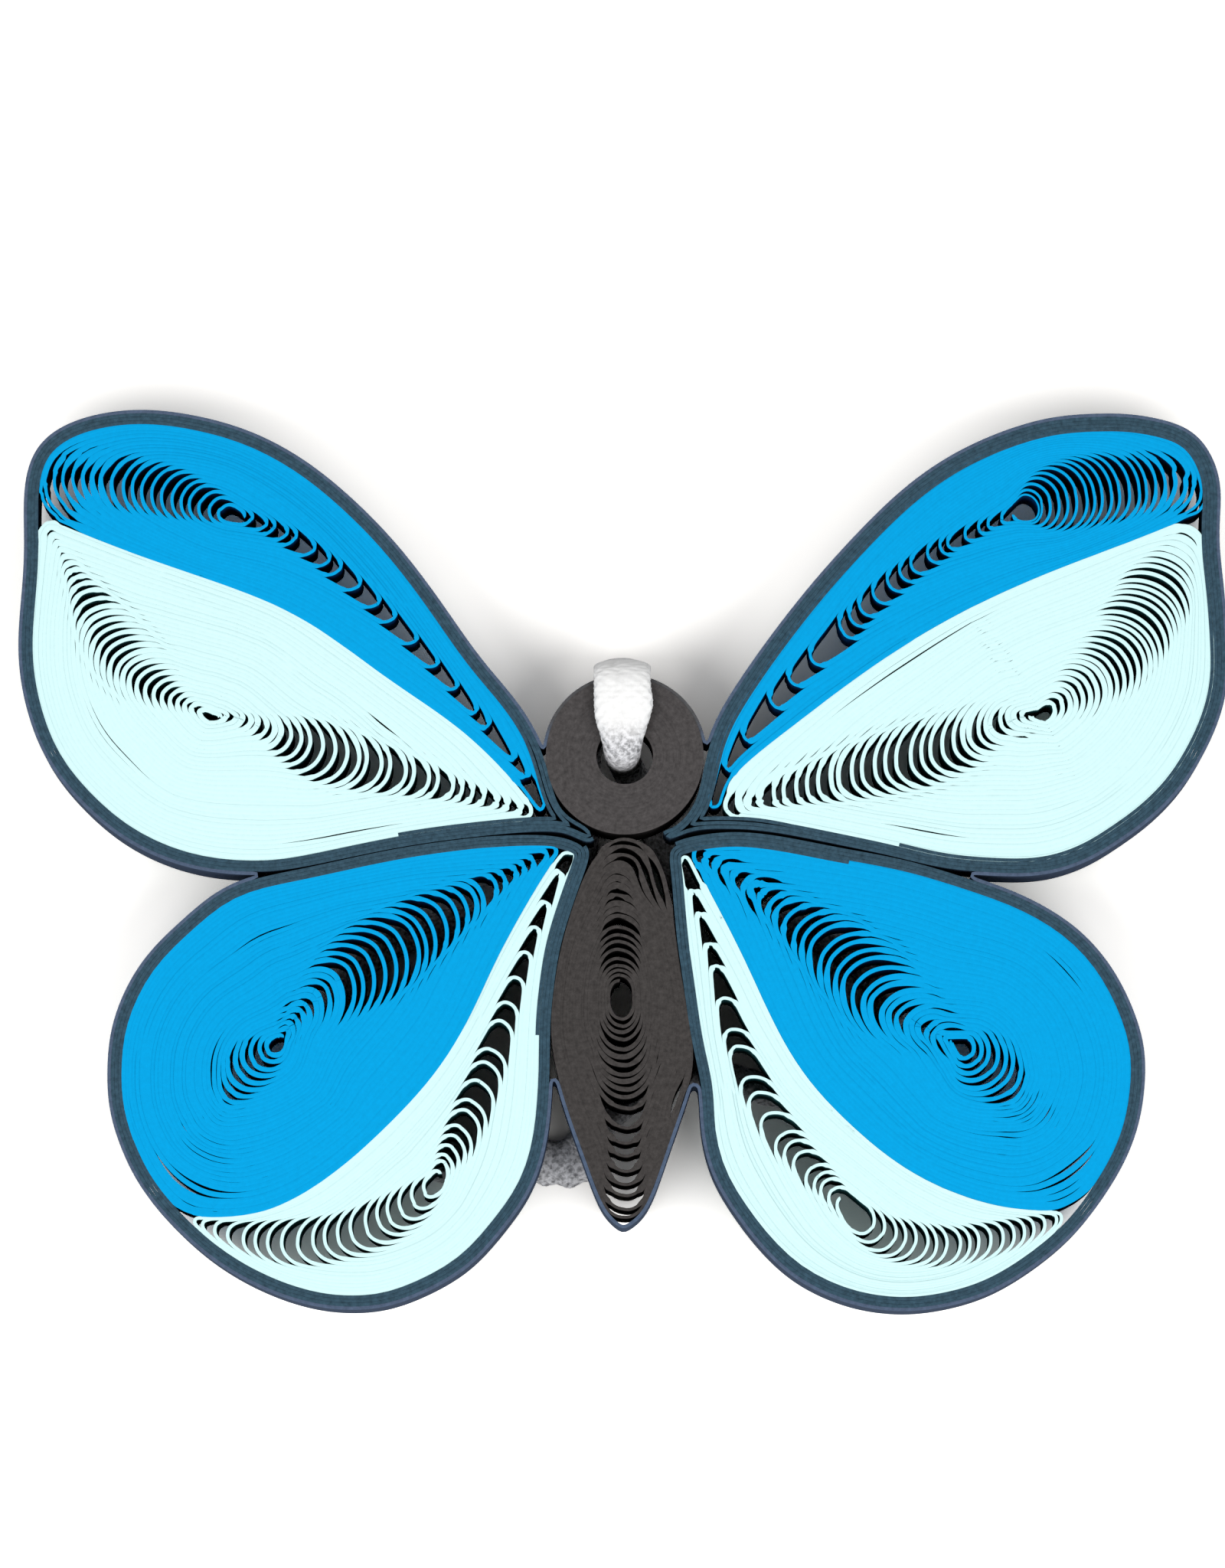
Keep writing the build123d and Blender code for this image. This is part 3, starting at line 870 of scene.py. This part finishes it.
def cord_route():
    """The cord's centre line, in millimetres, read from one smooth curve on its route."""
    left, right = ([(x, y, CORD_LEVEL) for x, y in part] for part in (CORD_LEFT, CORD_RIGHT))
    route = left + CORD_FOLD + right
    data = bpy.data.curves.new("cord_route", "CURVE")
    data.dimensions = "3D"
    data.resolution_u = 24
    curve = data.splines.new("NURBS")
    curve.points.add(len(route) - 1)
    for point, place in zip(curve.points, route):
        point.co = (*place, 1)
    curve.order_u = 3
    curve.use_endpoint_u = True
    carrier = made_object("cord_route", data)
    mesh = bpy.data.meshes.new_from_object(carrier)
    line = np.array([tuple(vertex.co) for vertex in mesh.vertices]) / MM
    bpy.data.objects.remove(carrier)
    bpy.data.meshes.remove(mesh)
    return line


def carried_along(line, start):
    """The cord's sideways and outward directions, carried from a start without a twist."""
    along = np.gradient(line, axis=0)
    along /= np.linalg.norm(along, axis=1, keepdims=True)
    side = np.zeros_like(line)
    side[start] = (1, 0, 0)
    for order in (range(start + 1, len(line)), range(start - 1, -1, -1)):
        last = side[start]
        for i in order:
            last = last - along[i] * (last @ along[i])
            last /= np.linalg.norm(last)
            side[i] = last
    return side, np.cross(along, side)


def braid_map(made, places):
    """Shares round the cord and millimetres along it, for the woven finish."""
    layer = made.data.uv_layers.new(name="braid")
    layer.data.foreach_set("uv", np.array(places, np.float32).ravel())
    made.data.shade_smooth()


def build_cord():
    """The braided cord: a tube along the route, squeezed flat and wide where it folds over the head."""
    line = evenly(cord_route(), CORD_STEP)
    top = int(np.argmax(line[:, 2]))
    side, outwards = carried_along(line, top)
    run = lengths(line)[:, None]
    away = run - run[top]
    flat = eased_step(away, *FLAT_FROM) * (1 - eased_step(away, *FLAT_TO))
    half = CORD_WIDTH / 2
    half_width = half * (1 + WIDENED * flat + SPREAD_IN_HOLE * hump(away, *IN_HOLE))
    half_depth = half * (1 - FLATTENED * flat)
    angle = np.linspace(0, 2 * np.pi, CORD_RING, endpoint=False)[None]
    phase = 2 * np.pi * run / PLAIT_LENGTH
    weave = np.maximum(np.sin(PLAIT_WAVES * angle + phase), np.sin(PLAIT_WAVES * angle - phase))
    relief = 1 + PLAIT_RELIEF * (weave - 1)
    right, upper = (np.clip(part * 2, 0, 1) for part in (np.cos(angle), np.sin(angle)))
    x = np.cos(angle) * half_width * relief * (1 + BULGE * hump(away, *BULGES_AT) * right)
    crease = hump(x, CREASE_AT + CREASE_WANDER * np.sin(CREASE_WAVE * away), CREASE_WIDTH)
    y = np.sin(angle) * half_depth * relief
    y = y - CREASE_DEPTH * flat * eased_step(away, *CREASED_FROM) * upper * crease
    on_face, on_rim = SUNK_TO_HEAD
    sunk = on_rim + (on_face - on_rim) * eased_step(away, *OFF_RIM)
    y = y - (half - half_depth) - sunk * flat
    corners = line[:, None] + side[:, None] * x[..., None] + outwards[:, None] * y[..., None]
    faces, woven = tube(len(line), CORD_RING)
    faces.append(tuple(reversed(range(CORD_RING))))
    faces.append(tuple((len(line) - 1) * CORD_RING + j for j in range(CORD_RING)))
    woven += [(0, 0)] * (2 * CORD_RING)
    made = piece("braided_cord", corners.reshape(-1, 3), faces, BRAID, "silver_braid", "hanging_cord")
    braid_map(made, [(j / CORD_RING, i * CORD_STEP) for j, i in woven])
    return made, line


# The knot's rings, how far each moves the braid's pattern on, and its size in its solid's box.
KNOT_RINGS = 65
KNOT_STEP = 0.08
KNOT_SIZE = 0.95
# How blunt the knot's ends are, and its turns of cord: how many waves they make along it, how far
# they slant and how deep they are, with finer waves for the plaits.
KNOT_BLUNTNESS = 0.55
KNOT_TURNS = 8
KNOT_SLANT = 1.4
KNOT_DEPTH = 0.08
KNOT_PLAITS = (10, 40)
KNOT_PLAIT_DEPTH = 0.02


def build_knot():
    """The knot that closes the loop: turns of the cord drawn tight over each other."""
    low, high = (np.array(corner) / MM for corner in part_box("cord_knot"))
    middle, half = (low + high) / 2, (high - low) / 2
    angle = np.pi * np.arange(KNOT_RINGS)[:, None] / (KNOT_RINGS - 1)
    turn = 2 * np.pi * np.arange(CORD_RING)[None] / CORD_RING
    across = -np.cos(angle)
    ribs = 1 - KNOT_DEPTH / 2 + KNOT_DEPTH * np.sin(KNOT_TURNS * across + KNOT_SLANT * np.sin(turn))
    ribs += KNOT_PLAIT_DEPTH * np.sin(KNOT_PLAITS[0] * turn + KNOT_PLAITS[1] * across)
    bulk = np.sin(angle) ** KNOT_BLUNTNESS * ribs
    shape = np.stack([across + 0 * turn, bulk * np.cos(turn), bulk * np.sin(turn)], axis=2)
    corners = middle + half * KNOT_SIZE * shape
    faces, woven = tube(KNOT_RINGS, CORD_RING, flipped=True)
    made = piece("tied_knot", corners.reshape(-1, 3), faces, BRAID, "silver_braid", "cord_knot")
    braid_map(made, [(j / CORD_RING, i * KNOT_STEP) for j, i in woven])
    return made


cord, cord_line = build_cord()
knot = build_knot()


# Wings.

# The thickness of the outer strip and of one wrap of a border, and a border's wraps.
STRIP = 0.2
WRAP = 0.22
WRAPS = 3
BORDER = WRAP * WRAPS
# Steps along rims and seams, along lines that are moved inwards, and along finished strips.
SAMPLE = 0.12
FINE_SAMPLE = 0.06
STRIP_SAMPLE = 0.2
# How far a rim's wobbles are eased, from so far off its root to so far, and how far the corners
# of a line that is moved inwards are.
RIM_EASE = 0.8
EASED_FROM = (2, 6)
CORNER_EASE = 0.12

# Each wing's rim, just inside the strip that runs round everything, anticlockwise in pixels of
# the photo from its root, and the seam between its two coils from root to tip.
UPPER_LEFT_RIM = [
    (781, 1092), (768, 1077), (750, 1067), (737, 1057), (727, 1041), (709, 985), (673, 920), (628, 866),
    (576, 793), (516, 714), (457, 653), (398, 605), (329, 567), (259, 546), (190, 537), (131, 542),
    (84, 557), (50, 584), (36, 625), (34, 665), (35, 712), (33, 760), (28, 820), (29, 875), (43, 940),
    (69, 998), (109, 1047), (155, 1087), (208, 1116), (270, 1134), (337, 1139), (388, 1134), (510, 1109),
    (612, 1094), (700, 1086), (742, 1090), (770, 1100),
]
UPPER_LEFT_SEAM = [
    (745, 1050), (714, 1061), (696, 1051), (679, 1031), (612, 962), (510, 888), (408, 816), (332, 778),
    (255, 750), (153, 714), (66, 679), (10, 655),
]
UPPER_RIGHT_RIM = [
    (861, 1093), (872, 1101), (905, 1089), (953, 1084), (989, 1084), (1079, 1100), (1168, 1119),
    (1233, 1134), (1302, 1140), (1368, 1138), (1430, 1116), (1461, 1096), (1490, 1076), (1533, 1036),
    (1560, 998), (1585, 948), (1600, 890), (1600, 832), (1595, 765), (1589, 700), (1592, 650),
    (1590, 620), (1581, 596), (1567, 573), (1548, 559), (1519, 550), (1480, 543), (1443, 542),
    (1400, 544), (1361, 550), (1302, 569), (1242, 598), (1183, 640), (1123, 698), (1063, 765),
    (1003, 842), (963, 900), (936, 947), (922, 990), (914, 1030), (902, 1058), (880, 1080), (866, 1086),
]
UPPER_RIGHT_SEAM = [
    (941, 1090), (941, 1062), (946, 1038), (960, 1012), (1034, 949), (1123, 882), (1212, 824),
    (1302, 777), (1391, 739), (1480, 705), (1547, 678), (1610, 652),
]
LOWER_LEFT_RIM = [
    (762, 1100), (742, 1092), (700, 1088), (612, 1095), (510, 1110), (388, 1136), (300, 1160),
    (241, 1205), (195, 1251), (165, 1301), (149, 1350), (145, 1400), (148, 1449), (163, 1498),
    (188, 1548), (229, 1597), (285, 1646), (359, 1686), (421, 1704), (460, 1707), (500, 1704),
    (538, 1692), (578, 1673), (617, 1646), (656, 1602), (686, 1560), (704, 1517), (713, 1472),
    (718, 1400), (719, 1335), (724, 1285), (731, 1240), (743, 1198), (756, 1160), (768, 1125), (769, 1110),
]
LOWER_LEFT_SEAM = [
    (760, 1085), (733, 1112), (692, 1174), (648, 1255), (612, 1331), (564, 1407), (492, 1484),
    (431, 1536), (351, 1580), (271, 1590), (205, 1587),
]
LOWER_RIGHT_RIM = [
    (877, 1102), (871, 1112), (873, 1142), (881, 1206), (893, 1289), (906, 1373), (917, 1424), (919, 1474),
    (934, 1534), (954, 1570), (984, 1612), (1013, 1644), (1042, 1668), (1082, 1689), (1121, 1702),
    (1160, 1708), (1200, 1708), (1262, 1696), (1310, 1676), (1369, 1636), (1410, 1597), (1439, 1558),
    (1463, 1518), (1482, 1469), (1490, 1420), (1490, 1370), (1476, 1321), (1452, 1272), (1422, 1233),
    (1387, 1203), (1331, 1172), (1268, 1149), (1184, 1124), (1106, 1109), (1060, 1100), (976, 1087),
    (920, 1090), (892, 1096),
]
LOWER_RIGHT_SEAM = [
    (880, 1085), (901, 1119), (932, 1175), (974, 1258), (1015, 1345), (1057, 1412), (1106, 1465),
    (1160, 1511), (1222, 1548), (1285, 1571), (1326, 1579), (1367, 1582), (1450, 1586),
]


def ring_of(pixels):
    """A closed rim through pixels, with a corner at the first and the given points' wobbles eased."""
    sharp = smooth_line(photo(*pixels, pixels[0]), SAMPLE)
    soft = softened(sharp, RIM_EASE, SAMPLE, closed=False)
    run = lengths(sharp)
    from_root = np.minimum(run, run[::-1])
    share = np.clip((from_root - EASED_FROM[0]) / (EASED_FROM[1] - EASED_FROM[0]), 0, 1)[:, None]
    return evenly(sharp + (soft - sharp) * share, SAMPLE)[:-1]


def inset(ring, depth):
    """An anticlockwise ring moved inwards, its corner rounded as paper's is."""
    inward = turned_left(ring, closed=True)
    room = room_beside(ring, inward)
    moved = (ring + depth * inward)[room > depth]
    return softened(evenly_round(moved, FINE_SAMPLE), CORNER_EASE, FINE_SAMPLE)


def two_rooms(rim, seam):
    """The wing inside its border, split by the seam: for each part, side a and side b."""
    inner = evenly_round(inset(rim, BORDER), SAMPLE)
    line = smooth_line(photo(*seam), SAMPLE)
    met = crossings(inner, line)
    root = min(met, key=lambda hit: hit[1])
    tip = max(met, key=lambda hit: hit[1])
    between = np.vstack([root[2], line[root[1] + 1:tip[1] + 1], tip[2]])
    first = np.vstack([root[2], stretch(inner, root[0] + 1, tip[0]), tip[2]])
    second = np.vstack([tip[2], stretch(inner, tip[0] + 1, root[0]), root[2]])
    rooms = ((first, between[::-1]), (between, second))
    return [[evenly(side, SAMPLE) for side in room] for room in rooms]


# How noses are spread: shares of the turns against shares of the way from the eye.
EVENLY = [(0, 0), (1, 1)]
CLOSE_THEN_WIDE = [(0, 0), (0.26, 0.14), (0.47, 0.3), (0.63, 0.5), (0.8, 0.72), (1, 1)]
CLOSE_THEN_EVEN = [(0, 0), (0.43, 0.28), (0.7, 0.5), (0.87, 0.75), (1, 1)]
A_LITTLE_CLOSE = [(0, 0), (0.3, 0.22), (1, 1)]
CLOSED_ROUND = [(0, 0), (0.25, 0.38), (0.84, 0.82), (1, 1)]

# Every coil: its eye, its turns, and for its root and its tip the line of its noses from the eye
# outwards, their spread, half the width of the gaps in pixels against shares of the way, and how
# far a nose reaches against that.
COILS = {
    "upper_left_blue_coil": (
        (304, 670), 20,
        ([(350, 687), (396, 711), (461, 761), (531, 827), (596, 900), (654, 973), (683, 1008), (709, 1058)],
         CLOSE_THEN_WIDE,
         [(0, 7), (0.12, 14), (0.3, 15), (0.45, 13), (0.6, 10), (0.75, 8), (0.9, 5), (1, 4)], 1.2),
        ([(250, 648), (190, 630), (130, 622), (85, 628), (57, 655)],
         EVENLY, [(0, 8), (0.2, 25), (0.45, 38), (0.7, 43), (0.9, 36), (1, 20)], 0.85),
    ),
    "upper_left_pale_coil": (
        (276, 935), 31,
        ([(320, 942), (400, 975), (500, 1008), (600, 1036), (694, 1062)],
         A_LITTLE_CLOSE,
         [(0, 6), (0.12, 12), (0.25, 28), (0.4, 48), (0.55, 44), (0.7, 30), (0.85, 18), (1, 8)], 1.2),
        ([(235, 912), (175, 868), (128, 812), (97, 755), (60, 682)],
         EVENLY,
         [(0, 6), (0.15, 14), (0.35, 44), (0.55, 56), (0.68, 44), (0.8, 20), (0.92, 6), (1, 4)], 1.3),
    ),
    "upper_right_blue_coil": (
        (1335, 665), 21,
        ([(1288, 685), (1235, 712), (1186, 743), (1132, 788), (1092, 832), (1052, 868), (1016, 908),
          (985, 949), (958, 987), (931, 1055)],
         CLOSE_THEN_EVEN,
         [(0, 7), (0.12, 10), (0.3, 18), (0.5, 21), (0.65, 16), (0.8, 10), (0.9, 6), (1, 5)], 1.2),
        ([(1385, 648), (1450, 640), (1510, 640), (1550, 648), (1572, 660)],
         EVENLY, [(0, 8), (0.12, 25), (0.25, 40), (0.45, 50), (0.7, 48), (0.88, 36), (1, 16)], 0.85),
    ),
    "upper_right_pale_coil": (
        (1361, 935), 31,
        ([(1315, 938), (1240, 972), (1140, 1008), (1040, 1038), (950, 1060)],
         A_LITTLE_CLOSE,
         [(0, 6), (0.12, 16), (0.25, 42), (0.45, 52), (0.65, 46), (0.8, 32), (0.92, 20), (1, 10)], 1.3),
        ([(1400, 905), (1455, 855), (1505, 795), (1535, 745), (1560, 690)],
         EVENLY, [(0, 6), (0.15, 22), (0.35, 50), (0.6, 64), (0.8, 62), (0.92, 42), (1, 14)], 1.0),
    ),
    "lower_left_blue_coil": (
        (363, 1363), 32,
        ([(400, 1320), (480, 1250), (560, 1200), (650, 1150), (726, 1108)],
         A_LITTLE_CLOSE,
         [(0, 7), (0.12, 12), (0.28, 46), (0.5, 66), (0.65, 50), (0.75, 34), (0.85, 16), (1, 6)], 1.3),
        ([(325, 1400), (292, 1450), (262, 1515), (243, 1580)],
         CLOSED_ROUND, [(0, 8), (0.15, 25), (0.3, 40), (0.4, 30), (0.5, 10), (0.85, 6), (1, 10)], 1.0),
    ),
    "lower_left_pale_coil": (
        (570, 1544), 19,
        ([(600, 1480), (640, 1380), (680, 1270), (710, 1190), (742, 1113)],
         CLOSE_THEN_WIDE,
         [(0, 7), (0.12, 21), (0.25, 27), (0.4, 24), (0.55, 16), (0.7, 9), (0.85, 7), (1, 6)], 1.2),
        ([(520, 1585), (430, 1617), (340, 1615), (255, 1593)],
         EVENLY, [(0, 7), (0.12, 20), (0.3, 33), (0.6, 34), (0.85, 30), (0.95, 18), (1, 8)], 1.2),
    ),
    "lower_right_blue_coil": (
        (1255, 1368), 32,
        ([(1202, 1337), (1160, 1312), (1119, 1275), (1077, 1233), (1036, 1200), (994, 1167),
          (953, 1138), (908, 1108)],
         A_LITTLE_CLOSE,
         [(0, 7), (0.1, 18), (0.25, 38), (0.45, 66), (0.6, 58), (0.75, 28), (0.88, 16), (1, 7)], 1.5),
        ([(1290, 1405), (1330, 1450), (1365, 1510), (1390, 1572)],
         CLOSED_ROUND, [(0, 7), (0.1, 18), (0.3, 52), (0.4, 40), (0.5, 10), (0.85, 6), (1, 10)], 1.0),
    ),
    "lower_right_pale_coil": (
        (1115, 1584), 19,
        ([(1073, 1536), (1044, 1503), (1015, 1465), (990, 1428), (969, 1383), (953, 1337), (945, 1300),
          (936, 1267), (924, 1225), (911, 1184), (894, 1118)],
         CLOSE_THEN_WIDE,
         [(0, 9), (0.12, 21), (0.3, 24), (0.45, 22), (0.6, 16), (0.75, 9), (0.88, 7), (1, 5)], 1.2),
        ([(1152, 1615), (1193, 1627), (1235, 1631), (1276, 1623), (1318, 1611), (1355, 1598), (1385, 1587)],
         EVENLY, [(0, 9), (0.15, 24), (0.35, 30), (0.6, 26), (0.85, 20), (1, 8)], 1.0),
    ),
}
# The coils whose eyes are longer, with how far their first noses lie from the eye's middle.
LONG_EYES = {"lower_right_pale_coil": 1.1, "upper_right_pale_coil": 0.8}

# Slits where packed turns stand apart: a line on the photo and the slit's width in millimetres.
SLITS = {
    "upper_left_pale_coil": [
        ((95, 900), (205, 1040), 0.09), ((350, 1102), (545, 1075), 0.1), ((475, 924), (525, 964), 0.12),
    ],
    "upper_right_pale_coil": [
        ((1060, 950), (1320, 770), 0.12), ((1150, 1100), (1270, 1070), 0.12),
    ],
    "lower_left_blue_coil": [
        ((195, 1480), (290, 1590), 0.14), ((290, 1250), (400, 1205), 0.12), ((275, 1340), (300, 1440), 0.16),
    ],
    "lower_right_blue_coil": [
        ((1245, 1500), (1420, 1440), 0.09), ((1360, 1560), (1430, 1490), 0.2),
        ((1365, 1230), (1420, 1300), 0.1),
    ],
}

WINGS = {
    "upper_left": (UPPER_LEFT_RIM, UPPER_LEFT_SEAM, ("blue", "pale")),
    "upper_right": (UPPER_RIGHT_RIM, UPPER_RIGHT_SEAM, ("pale", "blue")),
    "lower_left": (LOWER_LEFT_RIM, LOWER_LEFT_SEAM, ("blue", "pale")),
    "lower_right": (LOWER_RIGHT_RIM, LOWER_RIGHT_SEAM, ("pale", "blue")),
}

# Seeds for how noses stray in the first wing's coils and in the body, and for how the height of
# the paper wavers. Wing coils take their own number for the latter.
WING_SEED = 10
BODY_SEED = 5
BODY_WAVER_SEED = 3
BORDER_WAVER_SEED = 4
STRIP_WAVER_SEED = 6


def placed_slits(slits):
    """Slits with the ends of their lines in millimetres."""
    return [(*photo(first, last), width) for first, last, width in slits]


def wing_coils():
    """The centre line of every wing coil. The seam is the straighter side of both its rooms."""
    made = {}
    for number, (wing, (rim, seam, kinds)) in enumerate(WINGS.items()):
        for kind, straighter, (side_a, side_b) in zip(kinds, "ba", two_rooms(ring_of(rim), seam)):
            name = f"{wing}_{kind}_coil"
            eye, turns, (root_line, *root_fan), (tip_line, *tip_fan) = COILS[name]
            leaf = Leaf(side_a, side_b, straighter, photo(*root_line), photo(eye)[0], photo(*tip_line))
            slits = placed_slits(SLITS.get(name, []))
            first_nose = LONG_EYES.get(name, FIRST_NOSE)
            made[name] = rolled(leaf, turns, WING_SEED + number, (root_fan, tip_fan), slits, first_nose)
    return made


# Head and abdomen.

BODY_LEFT = [
    (813, 1090), (799, 1097), (784, 1112), (771, 1130), (757, 1160), (744, 1198), (732, 1243), (724, 1290),
    (720, 1340), (725, 1388), (741, 1448), (768, 1524), (793, 1582), (814, 1602),
]
BODY_RIGHT = [
    (814, 1602), (838, 1582), (868, 1510), (896, 1428), (905, 1380), (897, 1315), (887, 1257), (879, 1195),
    (870, 1142), (853, 1112), (831, 1096), (813, 1090),
]
BODY_TURNS = 20
BODY_EYE = (811, 1305)
BODY_FIRST_NOSE = 1.05
BODY_ROOT_NOSES = [(811, 1250), (812, 1200), (812, 1150), (812, 1096)]
BODY_TIP_NOSES = [(812, 1350), (814, 1420), (815, 1500), (815, 1590)]
# The noses' spread, gaps and reach, as the wing coils have them.
BODY_ROOT_FAN = (
    [(0, 0), (0.16, 0.12), (1, 1)],
    [(0, 5), (0.12, 16), (0.3, 30), (0.5, 32), (0.7, 25), (0.85, 16), (1, 6)], 1.1,
)
BODY_TIP_FAN = (
    [(0, 0), (0.16, 0.1), (0.6, 0.45), (0.68, 0.6), (1, 1)],
    [(0, 5), (0.1, 18), (0.3, 38), (0.5, 38), (0.7, 26), (0.9, 12), (1, 4)], 1.3,
)
BODY_SLITS = [
    ((828, 1106), (866, 1190), 0.24), ((840, 1106), (872, 1195), 0.3), ((852, 1110), (878, 1195), 0.3),
    ((893, 1400), (875, 1470), 0.26),
]
HOLE_RADIUS = 1.5
HEAD_TURNS = 16
# The share of a turn over which the head's paper climbs on to the next, under the cord.
HEAD_CLIMB = 0.1
HEAD_SAMPLES = 260


def body_sides():
    """The abdomen's outline as its left and right sides."""
    return smooth_line(photo(*BODY_LEFT), SAMPLE), smooth_line(photo(*BODY_RIGHT), SAMPLE)


def body_coil():
    """The loose coil of the abdomen, pinched at the head and at the tail."""
    left, right = body_sides()
    leaf = Leaf(left, right, "a", photo(*BODY_ROOT_NOSES), photo(BODY_EYE)[0], photo(*BODY_TIP_NOSES))
    fans = (BODY_ROOT_FAN, BODY_TIP_FAN)
    return rolled(leaf, BODY_TURNS, BODY_SEED, fans, placed_slits(BODY_SLITS), BODY_FIRST_NOSE)


def round_head(radius, angle):
    """Points round the head's middle."""
    return photo(HEAD_MIDDLE)[0] + radius * np.stack([np.cos(angle), np.sin(angle)], axis=1)


def head_coil():
    """The tight coil of the head, round its hole."""
    pitch = (HEAD_RADIUS - HOLE_RADIUS) / HEAD_TURNS
    turn = np.linspace(0, HEAD_TURNS - 1, (HEAD_TURNS - 1) * 2 * HALF_SAMPLES + 1)
    climbed = np.floor(turn) + np.clip((turn % 1) / HEAD_CLIMB, 0, 1)
    radius = HOLE_RADIUS + pitch * (climbed + 0.5)
    angle = 2 * np.pi * (turn + 0.25 - HEAD_CLIMB / 2)
    return round_head(radius[:, None], angle), turn.astype(int), pitch


# Borders and the outer strip.

# Where the innermost end of each border's strip is seen.
BORDER_ENDS = {
    "upper_left": (523, 1097), "upper_right": (1173, 1108),
    "lower_left": (709, 1351), "lower_right": (1109, 1127),
}
# The length over which a border's strip passes from one wrap out to the next.
BORDER_CLIMB = 6

# The places in the photo where the outer strip leaves one outline for the next, anticlockwise
# from the notch on the head's left.
STRIP_TURNS = {
    "head_left": (706, 978), "hem_left": (338, 1142), "waist_left": (723, 1410), "waist_right": (911, 1417),
    "hem_right": (1268, 1146), "head_right": (926, 972),
}
STRIP_EASE = 0.22


def wound_border(wing):
    """The centre line of one wing's border: its strip's inner end, then three wraps outwards."""
    ring = ring_of(WINGS[wing][0])
    wraps = []
    for wrap in range(WRAPS + 1):
        loop = inset(ring, (WRAPS - wrap + 0.5) * WRAP)
        start = nearest(loop, ring[0])
        wraps.append(evenly(np.vstack([loop[start:], loop[:start + 1]]), STRIP_SAMPLE))
    end = nearest(wraps[0], photo(BORDER_ENDS[wing])[0])
    line = [wraps[0][end:-1]]
    for last, wrap in zip(wraps, wraps[1:]):
        run = lengths(wrap)
        share = np.clip(run / BORDER_CLIMB, 0, 1)[:, None]
        same = at_lengths(last, run * lengths(last)[-1] / run[-1])
        line.append((same * (1 - share) + wrap * share)[:-1])
    return np.vstack(line)


def outer_strip():
    """The centre line of the strip that runs round the whole butterfly and into every notch."""
    turns = {name: photo(place)[0] for name, place in STRIP_TURNS.items()}
    rims = {wing: ring_of(rim) for wing, (rim, seam, kinds) in WINGS.items()}
    left, right = body_sides()
    body = np.vstack([left, right[1:-1]])
    head = round_head(HEAD_RADIUS, np.linspace(0, 2 * np.pi, HEAD_SAMPLES, endpoint=False))
    runs = []
    for ring, start, end in (
        (rims["upper_left"], "head_left", "hem_left"), (rims["lower_left"], "hem_left", "waist_left"),
        (body, "waist_left", "waist_right"), (rims["lower_right"], "waist_right", "hem_right"),
        (rims["upper_right"], "hem_right", "head_right"), (head, "head_right", "head_left"),
    ):
        run = stretch(ring, nearest(ring, turns[start]), nearest(ring, turns[end]))
        runs.append(run - turned_left(run) * STRIP / 2)
    loop = evenly_round(np.vstack(runs), FINE_SAMPLE)
    return evenly(softened(loop, STRIP_EASE, FINE_SAMPLE), STRIP_SAMPLE)


# Paper's thickness against the spacing of its turns: coils are packed tight, and a border's wraps
# show a thin line between them.
PACKING = 1.05
BORDER_PACKING = 0.95


def build_paper():
    """Every rolled and wrapped piece of paper, each for its own node."""
    for number, (name, (line, turns, pitch)) in enumerate(wing_coils().items()):
        corners, faces = strip(line, pitch * PACKING, number, turns)
        finish, slot = (BLUE, "blue_paper") if "blue" in name else (PALE, "pale_paper")
        piece(f"rolled_{name}", corners, faces, finish, slot, name)
    for name, finish, (line, turns, pitch) in (
        ("abdomen_coil", BODY_PAPER, body_coil()), ("head_coil", CHARCOAL, head_coil()),
    ):
        corners, faces = strip(line, pitch * PACKING, BODY_WAVER_SEED, turns)
        piece(f"rolled_{name}", corners, faces, finish, "charcoal_paper", name)
    for wing in WINGS:
        corners, faces = strip(wound_border(wing), WRAP * BORDER_PACKING, BORDER_WAVER_SEED)
        piece(f"wound_{wing}_border", corners, faces, SLATE, "slate_paper", f"{wing}_wing_border")
    corners, faces = strip(outer_strip(), STRIP, STRIP_WAVER_SEED, closed=True)
    piece("outer_strip", corners, faces, STRIP_PAPER, "slate_paper", "perimeter_strip")


build_paper()
